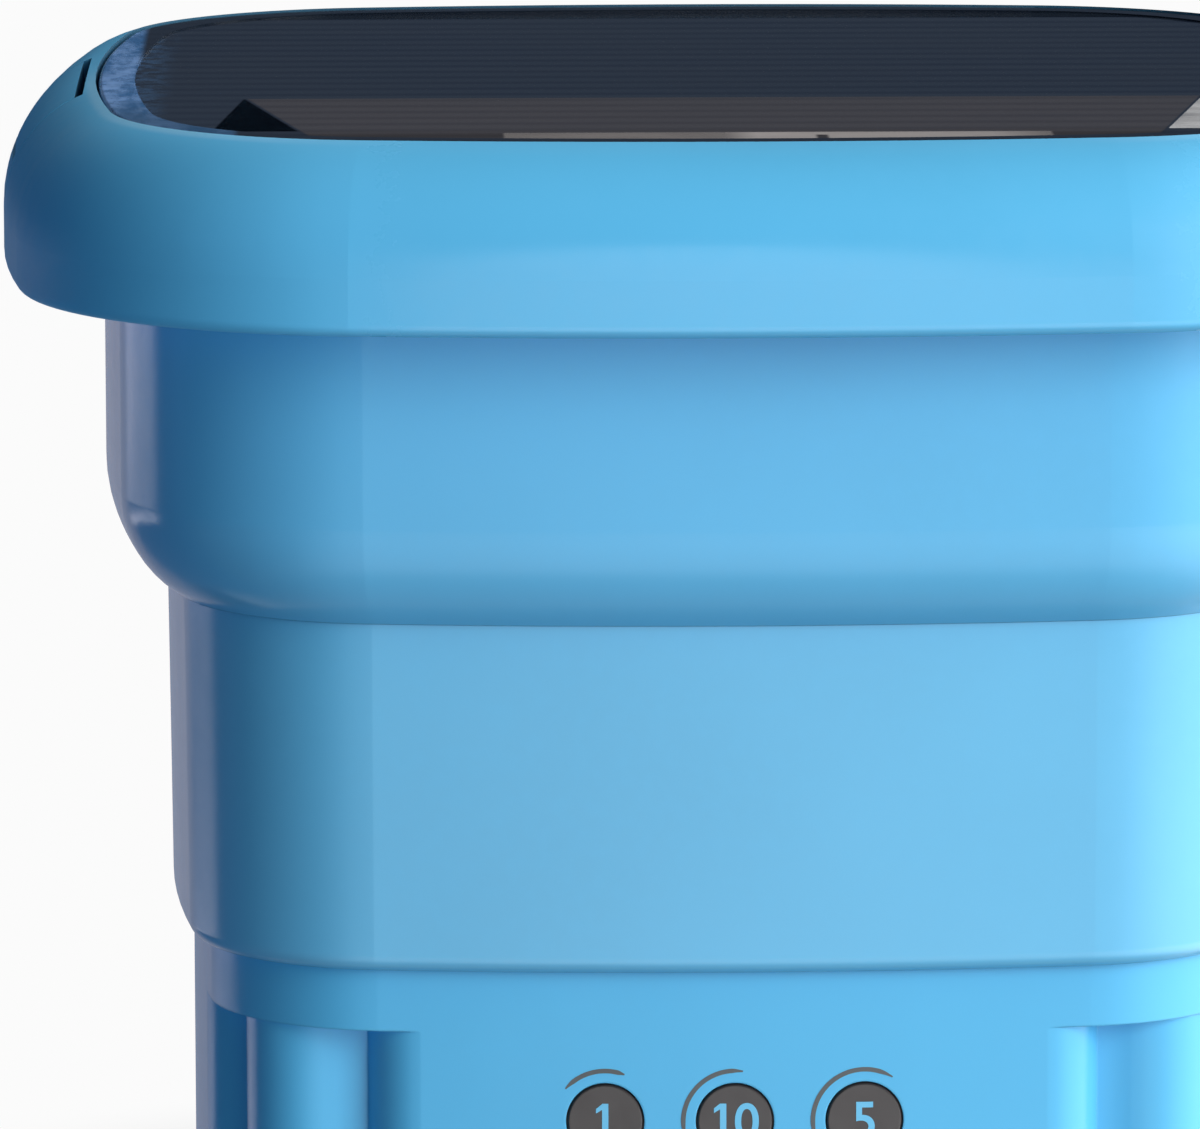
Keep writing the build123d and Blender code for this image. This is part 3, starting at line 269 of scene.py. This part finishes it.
def rubber(name, colour, roughness=0.6, grain=(3400.0, 0.00006)):
    """Matt rubber with a dusty bloom."""
    material, t, shader, where = start_material(name)
    bloom = t.noise(where, 60.0, 5.0, 0.65)
    dusty = tuple(0.82 * c + 0.05 for c in colour)
    base = t.mix(t.step(bloom, 0.4, 0.75, 0.0, 0.35), rgba(colour), rgba(dusty))
    t.put(shader.inputs["Base Color"], base)
    t.put(shader.inputs["Roughness"], t.step(bloom, 0.3, 0.7, roughness - 0.08, roughness + 0.12))
    shader.inputs["Specular IOR Level"].default_value = 0.35
    t.put(shader.inputs["Normal"], t.bump(t.noise(where, grain[0], 3.0), grain[1], 0.8))
    return material


# ---------------------------------------------------------------- materials
BLUE = (0.104, 0.462, 0.795)
SOFT_BLUE = (0.122, 0.458, 0.760)
BASE_BLUE = (0.094, 0.452, 0.790)
UPPER_BLUE = (0.120, 0.466, 0.798)

# Grain and wave: scale of the noise, and height in metres
RIM_GRAIN, RIM_WAVE = (5200.0, 0.000002), (22.0, 0.00012)
WALL_GRAIN, WALL_WAVE = (4200.0, 0.000008), (16.0, 0.00015)
TUB_GRAIN, TUB_WAVE = (4800.0, 0.000006), (14.0, 0.00008)
INK_GRAIN = (5200.0, 0.000008)

rim_blue = moulded("rim_blue", BLUE, 0.20, 0.03, RIM_GRAIN, RIM_WAVE, bevel=0.0)
rim_finish_and_painted_light(rim_blue)
soft_blue = moulded(
    "soft_blue", UPPER_BLUE, 0.16, 0.015, WALL_GRAIN, WALL_WAVE, specular=0.25, bevel=0.0005
)
soft_blue_low = moulded(
    "soft_blue_low", SOFT_BLUE, 0.19, 0.015, WALL_GRAIN, WALL_WAVE, specular=0.42, bevel=0.0005
)
base_blue = moulded(
    "base_blue", BASE_BLUE, 0.24, 0.012, grain=(4800.0, 0.000008), mottle=0.02, specular=0.28, bevel=0.0006
)
cover_blue = moulded("cover_blue", (0.075, 0.33, 0.58), 0.5, 0.06, grain=(2600.0, 0.00005))
tub_grey = moulded("tub_grey", (0.62, 0.69, 0.73), 0.30, 0.02, TUB_GRAIN, TUB_WAVE, mottle=0.012)
pale_white = moulded(
    "pale_white", (0.76, 0.80, 0.83), 0.26, 0.02, TUB_GRAIN, (14.0, 0.00006), mottle=0.012
)
key_black = moulded(
    "key_black", (0.031, 0.027, 0.029), 0.38, 0.05, grain=(5200.0, 0.000018), mottle=0.06, bevel=0.0003
)
jack_black = moulded("jack_black", (0.022, 0.022, 0.024), 0.4, 0.06, mottle=0.1)
switch_black = moulded("switch_black", (0.03, 0.03, 0.032), 0.45, 0.06, mottle=0.1)
pipe_grey = moulded("pipe_grey", (0.60, 0.64, 0.68), 0.4, 0.06, grain=(3000.0, 0.00004))
ink_grey = moulded("ink_grey", (0.075, 0.085, 0.095), 0.5, 0.05, INK_GRAIN, mottle=0.08, bevel=0.0)
ink_blue = moulded("ink_blue", (0.14, 0.50, 0.80), 0.45, 0.05, INK_GRAIN, mottle=0.03, bevel=0.0)
seal_rubber = rubber("seal_rubber", (0.035, 0.035, 0.04), 0.55)
foot_rubber = rubber("foot_rubber", (0.03, 0.03, 0.034), 0.62)
stopper_rubber = rubber("stopper_rubber", (0.33, 0.38, 0.42), 0.5)
lead_rubber = rubber("lead_rubber", (0.025, 0.025, 0.028), 0.5)
steel = metal("steel", (0.62, 0.63, 0.65), 0.3)
shaft_steel = metal("shaft_steel", (0.70, 0.71, 0.73), 0.2, (1.0, 1.0, 60.0))
can_steel = metal("can_steel", (0.55, 0.57, 0.60), 0.36, (1.0, 1.0, 8.0))
bearing_steel = metal("bearing_steel", (0.72, 0.73, 0.75), 0.2)
rotor_dark = metal("rotor_dark", (0.2, 0.2, 0.22), 0.4, (1.0, 1.0, 40.0))

# Lid, in metres from its middle
LINE_PITCH = 0.0098
BAND_PITCH = 0.0231
STAIR = 0.0125  # steps in the edge of the frame's painted blue reflection
BORDER_Y = (-0.0430, -0.0448)
LAND_Y = (-0.1010, -0.1022)


def frame_shade(t, where, x, y, thin, drift):
    """Colour of the lid's frame: dark, with thin lines, and at both ends a streaked blue painted reflection
    of the rim under it, darker towards the front.
    """
    stretched = t.add("Mapping")
    t.put(stretched.inputs["Vector"], where)
    stretched.inputs["Scale"].default_value = (1.0, 0.35, 1.0)
    # Painted reflection: streaked blue of the rim at both ends of the frame, darker towards the front
    reflection_streak = t.step(t.noise(stretched.outputs[0], 170.0, 4.0, 0.65), 0.36, 0.66)
    blue = t.mix(reflection_streak, (0.045, 0.18, 0.46, 1.0), (0.27, 0.50, 1.0, 1.0))
    blue = t.mix(t.step(y, -0.040, -0.085, 0.0, 0.75), blue, (0.020, 0.085, 0.190, 1.0))
    dark = t.mix(t.times(thin, 0.3), (0.010, 0.016, 0.028, 1.0), (0.006, 0.010, 0.018, 1.0))
    stair = t.plus(y, t.times(drift, 0.006))
    stair = t.times(t.math("FLOOR", t.math("DIVIDE", stair, STAIR)), STAIR)
    bound = t.line(stair, [(-0.090, 0.093), (-0.020, 0.1135)])
    return t.mix(t.step(t.less(t.math("ABSOLUTE", x), bound), -0.0006, 0.0012), dark, blue)


def panel_shade(t, where, x, y, thin, along):
    """Colour of the lid's panel, and how far its surface leans to x and y: thin lines over broad
    bands, and painted reflections: a grey front border, a dark facet at each front corner, blue hatched ends
    and a pale front edge."""
    wide = t.math("ABSOLUTE", x)
    broad = t.math("SINE", t.times(along, 2.0 * pi / BAND_PITCH))
    shade = t.mix(t.step(broad, 0.2, 1.0, 0.0, 0.5), (0.020, 0.031, 0.052, 1.0), (0.027, 0.038, 0.058, 1.0))
    shade = t.mix(t.times(thin, 0.66), shade, (0.004, 0.009, 0.026, 1.0))
    cloud = t.step(t.noise(where, 14.0, 4.0), 0.35, 0.75)
    shade = t.mix(t.times(cloud, 0.3), shade, (0.024, 0.032, 0.046, 1.0))
    # Front border between the two mitre lines: a painted grey reflection
    mitre = t.plus(wide, t.times(y, -0.2))
    near = t.step(y, *BORDER_Y)
    front = t.times(near, t.step(mitre, 0.1012, 0.1002))
    grey = t.mix(t.times(thin, 0.5), (0.029, 0.036, 0.051, 1.0), (0.017, 0.022, 0.036, 1.0))
    shade = t.mix(front, shade, grey)
    # Facets outside the mitre lines: painted dark reflections with a leaning normal, and no geometry behind
    # them
    outer = t.step(t.plus(wide, t.times(y, 0.10)), 0.0884, 0.0876)
    facet = t.times(t.times(near, t.step(mitre, 0.1006, 0.1016)), outer)
    facet = t.times(facet, t.step(y, -0.0985, -0.0970))
    shade = t.mix(facet, shade, (0.004, 0.008, 0.014, 1.0))
    lean_x = t.times(t.times(facet, 0.75), t.math("SIGN", x))
    back = t.step(y, 0.0985, 0.1005)
    lean_y = t.plus(t.times(front, -0.10), t.times(back, 0.10))
    # Hatched ends: a painted blue reflection of the rim under the lid
    hatch = t.step(t.noise(where, 260.0, 3.0, 0.6), 0.42, 0.6)
    ends = t.times(t.step(wide, 0.1055, 0.1125), hatch)
    shade = t.mix(t.times(ends, 0.7), shade, (0.05, 0.12, 0.25, 1.0))
    # Front edge: painted shade of a groove, then a dark land with a pale painted reflection along its front,
    # broken by a few nicks
    groove_shade = t.between(y, LAND_Y[0], -0.0975, 0.0006)
    shade = t.mix(t.times(groove_shade, 0.6), shade, (0.012, 0.015, 0.022, 1.0))
    land = t.step(y, *LAND_Y)
    shade = t.mix(land, shade, (0.006, 0.009, 0.014, 1.0))
    # Painted reflection: a pale strip along the front of the land, brighter right of the middle
    pale = t.times(land, t.step(y, -0.1125, -0.1112))
    pale = t.times(pale, t.between(x, -0.0432, 0.0592, 0.0004))
    nick = t.plus(t.between(x, 0.0150, 0.0172, 0.0005), t.between(x, 0.0650, 0.0662, 0.0005))
    nick = t.times(nick, t.step(y, -0.1050, -0.1070))
    pale = t.times(pale, t.math("SUBTRACT", 1.0, nick, clamp=True))
    level = t.line(x, [(-0.045, 0.17), (-0.002, 0.20), (0.004, 0.42), (0.048, 0.36), (0.058, 0.16)])
    level = t.plus(level, t.step(t.noise(where, 30.0, 2.0), 0.35, 0.7, -0.03, 0.03))
    warm = t.mix(1.0, t.join(level, level, level), (1.0, 0.94, 0.96, 1.0), "MULTIPLY")
    return t.mix(pale, shade, warm), lean_x, lean_y


def lid_material(name, frame_part):
    """Smoked clear plastic with faint lines from side to side, for the panel or for its frame."""
    material, t, shader, where = start_material(name)
    x, y, _ = t.split(where)
    drift = t.noise(where, 7.0, 3.0)
    along = t.plus(y, t.times(drift, 0.0016))
    thin = t.step(t.math("SINE", t.times(along, 2.0 * pi / LINE_PITCH)), -0.6, 0.98)
    if frame_part:
        shade, lean_x, lean_y = frame_shade(t, where, x, y, thin, drift), 0.0, 0.0
    else:
        shade, lean_x, lean_y = panel_shade(t, where, x, y, thin, along)
    t.put(shader.inputs["Base Color"], shade)
    scratch = t.noise(where, 420.0, 6.0, 0.7)
    t.put(shader.inputs["Roughness"], t.step(scratch, 0.3, 0.8, 0.07, 0.13))
    shader.inputs["Alpha"].default_value = 0.93
    normal = t.add("NewGeometry").outputs["Normal"]
    upright = t.math("ABSOLUTE", t.split(normal)[2])
    gloss = t.times(t.step(upright, 0.3, 0.6, 0.08, 0.5), t.less(1.0, t.times(thin, 0.55)))
    t.put(shader.inputs["Specular IOR Level"], gloss)
    leaning = t.add("VectorMath", operation="ADD")
    t.put(leaning.inputs[0], normal)
    t.put(leaning.inputs[1], t.join(lean_x, lean_y, 0.0))
    unit = t.add("VectorMath", operation="NORMALIZE")
    t.put(unit.inputs[0], leaning.outputs[0])
    height = t.plus(t.noise(where, 30.0, 2.0), t.times(thin, 0.02))
    t.put(shader.inputs["Normal"], t.bump(height, 0.00015, 1.0, unit.outputs[0]))
    return material


smoked = lid_material("smoked", False)
smoked_edge = lid_material("smoked_edge", True)

# Circuit board, with a solder mask and traces
board_green, t, shader, where = start_material("board_green")
cells = t.add("TexVoronoi", feature="DISTANCE_TO_EDGE")
t.put(cells.inputs["Vector"], where)
cells.inputs["Scale"].default_value = 240.0
trace = t.step(cells.outputs["Distance"], 0.04, 0.07)
t.put(shader.inputs["Base Color"], t.mix(trace, (0.03, 0.16, 0.07, 1.0), (0.012, 0.085, 0.035, 1.0)))
shader.inputs["Roughness"].default_value = 0.3
t.put(shader.inputs["Normal"], t.bump(trace, 0.00003, 1.0))

# Motor: laminations and varnished copper
stator_brown, t, shader, where = start_material("stator_brown")
waves = t.add("TexWave", wave_type="BANDS", bands_direction="Z")
t.put(waves.inputs["Vector"], where)
waves.inputs["Scale"].default_value = 330.0
waves.inputs["Distortion"].default_value = 0.6
t.put(
    shader.inputs["Base Color"],
    t.mix(waves.outputs["Fac"], (0.17, 0.06, 0.02, 1.0), (0.42, 0.19, 0.07, 1.0)),
)
shader.inputs["Roughness"].default_value = 0.35
shader.inputs["Metallic"].default_value = 0.6
t.put(shader.inputs["Normal"], t.bump(waves.outputs["Fac"], 0.0002, 1.0))

dress = {
    rim_blue: ["rim_shell", "carry_handle"],
    soft_blue: ["upper_wall"],
    soft_blue_low: ["middle_wall"],
    base_blue: ["base_shell", "rim_under_ring"],
    cover_blue: ["base_cover"],
    tub_grey: ["inner_tub"],
    pale_white: ["pulsator", "cap_screw"],
    smoked: ["lid_window"],
    smoked_edge: ["lid_frame"],
    key_black: ["key_1", "key_10", "key_5"],
    seal_rubber: ["shaft_seal", "drain_gasket", "lid_gasket"],
    foot_rubber: ["foot_back_right", "foot_back_left", "foot_front_left", "foot_front_right"],
    stopper_rubber: ["drain_stopper"],
    lead_rubber: ["power_lead", "motor_lead"],
    steel: ["cover_screws", "rim_screws", "motor_screws", "board_screws", "handle_pins"],
    shaft_steel: ["drive_shaft"],
    can_steel: ["motor_can", "motor_bracket"],
    bearing_steel: ["lower_bearing", "upper_bearing"],
    stator_brown: ["motor_stator"],
    rotor_dark: ["motor_rotor"],
    board_green: ["control_board"],
    switch_black: ["key_switches", "board_connectors"],
    jack_black: ["power_jack"],
    pipe_grey: ["drain_elbow", "drain_spigot"],
}
for material, names in dress.items():
    for name in names:
        slots = nodes[name].data.materials
        slots.clear()
        slots.append(material)


# ---------------------------------------------------------------- pieces that only Blender has
def mesh_piece(name, vertices, faces, material, body):
    """A piece from vertices in metres in the shared frame, riding on a body."""
    mesh = bpy.data.meshes.new(name)
    mesh.from_pydata(vertices, [], faces)
    mesh.update()
    piece = bpy.data.objects.new(name, mesh)
    scene.collection.objects.link(piece)
    mesh.materials.append(material)
    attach(piece, body)
    return piece


def panel_point(x, z, proud):
    """A point on the bowed front panel of the base, proud of it by a distance in metres."""
    reach = PANEL_R + proud
    lean = asin(x / PANEL_R)
    return (reach * sin(lean), BOW_Y - reach * cos(lean), z)


KEY_Z = 0.0675
KEY_PITCH = 0.0246
INK_HALF = 0.00004  # half the thickness of a numeral
INK_PROUD = 0.00005  # its middle's height over the key
ARC_RADIUS = 0.0098
ARC_WIDTH = 0.00088
ARC_PROUD = 0.00006
NUMERAL_SIZE = 0.0098
NUMERAL_SPACING = 0.92
NUMERAL_BOLD = 0.00012
FLAG_HALF = 0.000035
FLAG = [(0.00005, -0.00005), (-0.00115, -0.00100), (-0.00115, -0.00190), (0.00005, -0.00115)]


def arc_mark(name, middle, start, end):
    """A thin printed arc round a key, with ends that taper."""
    steps = 48
    rim = []
    for index in range(steps + 1):
        share = index / steps
        angle = radians(start + (end - start) * share)
        taper = min(1.0, share / 0.16, (1.0 - share) / 0.10)
        half = 0.5 * ARC_WIDTH * (0.30 + 0.70 * taper)
        for radius in (ARC_RADIUS + half, ARC_RADIUS - half):
            rim.append((middle + radius * cos(angle), KEY_Z + radius * sin(angle)))
    vertices = [panel_point(x, z, ARC_PROUD) for x, z in rim]
    faces = [(2 * i, 2 * i + 1, 2 * i + 3, 2 * i + 2) for i in range(steps)]
    return mesh_piece(name, vertices, faces, ink_grey, "base")


arc_mark("arc_mark_1", -KEY_PITCH, 140.0, 68.0)
arc_mark("arc_mark_10", 0.0, 200.0, 81.0)
arc_mark("arc_mark_5", KEY_PITCH, 206.0, 57.0)


def numeral(name, text, middle, body):
    """A printed number on a key, as thick as a coat of ink. A 1 at its start gets a longer flag."""
    curve = bpy.data.curves.new(name, "FONT")
    curve.body = text
    curve.size = NUMERAL_SIZE
    curve.align_x = "CENTER"
    curve.align_y = "CENTER"
    curve.extrude = INK_HALF
    curve.space_character = NUMERAL_SPACING
    curve.offset = NUMERAL_BOLD
    sample = bpy.data.objects.new(name + "_text", curve)
    scene.collection.objects.link(sample)
    bpy.context.view_layer.update()
    flat = bpy.data.meshes.new_from_object(sample)
    points = [tuple(vertex.co) for vertex in flat.vertices]
    faces = [tuple(polygon.vertices) for polygon in flat.polygons]
    bpy.data.objects.remove(sample)
    bpy.data.meshes.remove(flat)
    bpy.data.curves.remove(curve)
    low = min(point[1] for point in points)
    high = max(point[1] for point in points)
    if text.startswith("1"):
        stem = min(point[0] for point in points if point[1] < low + 0.3 * (high - low))
        first = len(points)
        for depth in (FLAG_HALF, -FLAG_HALF):
            points += [(stem + x, high + y, depth) for x, y in FLAG]
        front = [first + i for i in range(4)]
        back = [first + 4 + i for i in range(4)]
        faces += [tuple(front), tuple(reversed(back))]
        for i in range(4):
            j = (i + 1) % 4
            faces.append((front[j], front[i], back[i], back[j]))
    lean = asin(middle / PANEL_R)
    out = Vector((sin(lean), -cos(lean), 0.0))
    across = Vector((cos(lean), sin(lean), 0.0))
    up = Vector((0.0, 0.0, 1.0))
    touch = Vector((middle, BOW_Y - PANEL_R * cos(lean), KEY_Z))
    place = touch + INK_PROUD * out - up * (low + high) / 2
    vertices = [place + x * across + y * up + z * out for x, y, z in points]
    return mesh_piece(name, vertices, faces, ink_blue, body)


numeral("numeral_1", "1", -KEY_PITCH, "button_1")
numeral("numeral_10", "10", 0.0, "button_10")
numeral("numeral_5", "5", KEY_PITCH, "button_5")


# ---------------------------------------------------------------- studio
# Light on matt surfaces by the x and z of its direction
MATT_RED = [(-0.9, 0.06), (-0.33, 0.12), (0.55, 1.90), (1.0, 2.02)]
MATT_GREEN = [(-0.9, 0.18), (-0.39, 0.22), (0.55, 1.86), (1.0, 1.98)]
MATT_BLUE = [(-0.9, 0.34), (-0.46, 0.31), (0.55, 1.70), (1.0, 1.80)]
MATT_HEIGHT = [(-1.0, 0.0), (-0.5, 0.50), (-0.1, 1.20), (0.05, 1.36), (0.35, 1.62), (0.6, 1.42), (1.0, 0.84)]
# Brightness of the reflected zones by x, y or z, and where the front zone ends on the left by z
FRONT_Z = [(-0.29, 2.9), (-0.22, 1.9)]
FRONT_LEFT_END = [(-0.150, -0.80), (-0.110, -0.62)]
GROUND_X = [(-0.70, 0.2), (-0.30, 1.4), (0.1, 2.3), (1.0, 3.1)]
SIDE_X = [(0.20, 0.0), (0.50, 0.5), (0.66, 1.4), (0.80, 2.7), (1.0, 3.2)]
SIDE_Z = [
    (-0.9, 0.0), (-0.6, 0.6), (-0.20, 0.75), (-0.14, 0.5),
    (-0.12, 0.5), (-0.10, 2.4), (0.10, 0.7), (0.30, 0.4),
]
WALL_Y = [(0.44, 0.0), (0.54, 2.2), (0.70, 1.5), (0.95, 0.8)]
WALL_Z = [
    (-0.25, 0.0), (-0.24, 1.3), (-0.215, 1.3), (-0.200, 0.05),
    (-0.158, 0.05), (-0.147, 1.2), (-0.120, 1.0), (-0.10, 0.0),
]
BACKDROP = (0.965, 0.965, 0.965, 1.0)


def matt_light(t, x, z):
    """Dim on the left, rising to the right, and a little stronger from above."""
    light = t.add("VectorMath", operation="SCALE")
    t.put(light.inputs[0], t.join(t.line(x, MATT_RED), t.line(x, MATT_GREEN), t.line(x, MATT_BLUE)))
    upper_left = t.times(t.step(z, 0.0, 0.30), t.step(x, 0.75, -0.05))
    t.put(light.inputs["Scale"], t.times(t.line(z, MATT_HEIGHT), t.less(1.0, t.times(upper_left, 0.95))))
    return light.outputs[0]


def mirror_light(t, x, y, z):
    """The studio as glossy surfaces show it."""
    # A bright zone in front with an arched top, brighter low down, and light from the right
    arch = t.less(0.40, t.times(t.times(x, x), 5.6))
    under = t.math("MAXIMUM", t.step(t.less(z, arch), 0.020, -0.020), t.step(z, -0.13, -0.15))
    forward = t.times(t.step(x, t.line(z, FRONT_LEFT_END), 0.020), t.step(x, 0.70, 0.10))
    front = t.times(t.times(under, forward), t.line(z, FRONT_Z))
    ground = t.times(t.step(z, -0.21, -0.27), t.line(x, GROUND_X))
    shine = t.times(t.math("MAXIMUM", front, ground), t.step(z, -0.88, -0.66, 0.25, 1.0))
    side = t.times(t.times(t.line(x, SIDE_X), t.line(z, SIDE_Z)), t.step(y, 0.40, 0.10))
    shine = t.plus(t.plus(0.03, shine), side)
    # Behind: grey below the horizon, a pale strip on the right, a dark one on the left, dark blue else
    back = t.mix(t.step(z, 0.22, 0.33), (0.034, 0.046, 0.070, 1.0), (0.135, 0.122, 0.130, 1.0))
    low = t.times(t.step(z, -0.06, -0.12), t.step(z, -0.72, -0.50))
    back = t.mix(low, back, (0.40, 0.41, 0.50, 1.0))
    strip = t.times(t.step(x, 0.13, 0.16), t.between(z, -0.05, 0.078, 0.012))
    back = t.mix(strip, back, (1.7, 1.7, 1.7, 1.0))
    gloom = t.times(t.between(x, -0.45, -0.095, 0.015), t.between(z, -0.05, 0.10, 0.012))
    back = t.mix(gloom, back, (0.002, 0.004, 0.008, 1.0))
    shine = t.mix(t.step(y, 0.45, 0.55), shine, back)
    # Far left: dusk, and a pale lavender wall low down that only the walls under the rim see
    left = t.times(t.step(x, -0.40, -0.55), t.step(y, 0.05, 0.20))
    wall = t.times(t.line(y, WALL_Y), t.line(z, WALL_Z))
    lavender = t.mix(1.0, t.join(wall, wall, wall), (1.0, 0.93, 1.0, 1.0), "MULTIPLY")
    return t.mix(left, shine, t.mix(1.0, lavender, (0.15, 0.24, 0.40, 1.0), "ADD"))


def make_world():
    """Soft studio light from the right, reflections of their own, and a pale backdrop."""
    world = bpy.data.worlds.new("studio")
    scene.world = world
    world.use_nodes = True
    t = Tree(world.node_tree)
    out = t.add("OutputWorld")
    background = t.add("Background")
    t.link(background.outputs[0], out.inputs[0])
    x, y, z = t.split(t.add("TexCoord").outputs["Generated"])
    paths = t.add("LightPath")
    seen = t.mix(paths.outputs["Is Glossy Ray"], matt_light(t, x, z), mirror_light(t, x, y, z))
    through = t.math("MAXIMUM", paths.outputs["Is Camera Ray"], paths.outputs["Is Transmission Ray"])
    t.put(background.inputs["Color"], t.mix(through, seen, BACKDROP))


make_world()


def area_light(name, place, size, power):
    """A soft lamp aimed at the part, left out of its reflections."""
    data = bpy.data.lights.new(name, "AREA")
    data.shape = "RECTANGLE"
    data.size, data.size_y = size
    data.energy = power
    lamp = bpy.data.objects.new(name, data)
    scene.collection.objects.link(lamp)
    lamp.location = place
    aim = Vector((0.0, 0.0, 0.15))
    lamp.rotation_euler = (aim - Vector(place)).to_track_quat("-Z", "Y").to_euler()
    lamp.visible_glossy = False


area_light("key_light", (1.55, -1.75, 1.15), (1.3, 1.3), 25.0)
area_light("back_fill", (-0.6, 2.2, 1.3), (1.6, 1.2), 9.0)


def make_floor():
    """A pale floor that keeps the part's shadow and fades into the backdrop away from it."""
    rings = [0.3, 0.6, 1.0, 1.6, 2.4, 3.4, 4.8]
    around = 64
    vertices = [(0.0, 0.0, 0.0)]
    for radius in rings:
        for index in range(around):
            angle = 2.0 * pi * index / around
            vertices.append((radius * cos(angle), radius * sin(angle), 0.0))
    faces = [(0, 1 + i, 1 + (i + 1) % around) for i in range(around)]
    for ring in range(len(rings) - 1):
        first = 1 + ring * around
        second = first + around
        for i in range(around):
            j = (i + 1) % around
            faces.append((first + i, second + i, second + j, first + j))
    mesh = bpy.data.meshes.new("floor")
    mesh.from_pydata(vertices, [], faces)
    floor = bpy.data.objects.new("floor", mesh)
    scene.collection.objects.link(floor)
    material = bpy.data.materials.new("floor_white")
    material.use_nodes = True
    t = Tree(material.node_tree)
    out = t.add("OutputMaterial")
    matt = t.add("BsdfDiffuse")
    matt.inputs["Color"].default_value = (0.86, 0.86, 0.865, 1.0)
    glow = t.add("Emission")
    glow.inputs["Color"].default_value = BACKDROP
    length = t.add("VectorMath", operation="LENGTH")
    t.put(length.inputs[0], t.add("TexCoord").outputs["Object"])
    fade_start, fade_end = 0.12, 0.26
    fade = t.step(length.outputs["Value"], fade_start, fade_end)
    fade = t.times(fade, t.add("LightPath").outputs["Is Camera Ray"])
    mixed = t.add("MixShader")
    t.put(mixed.inputs[0], fade)
    t.link(matt.outputs[0], mixed.inputs[1])
    t.link(glow.outputs[0], mixed.inputs[2])
    t.link(mixed.outputs[0], out.inputs[0])
    mesh.materials.append(material)
    floor.visible_glossy = False
    floor.visible_diffuse = False


make_floor()

scene.view_settings.view_transform = "Standard"
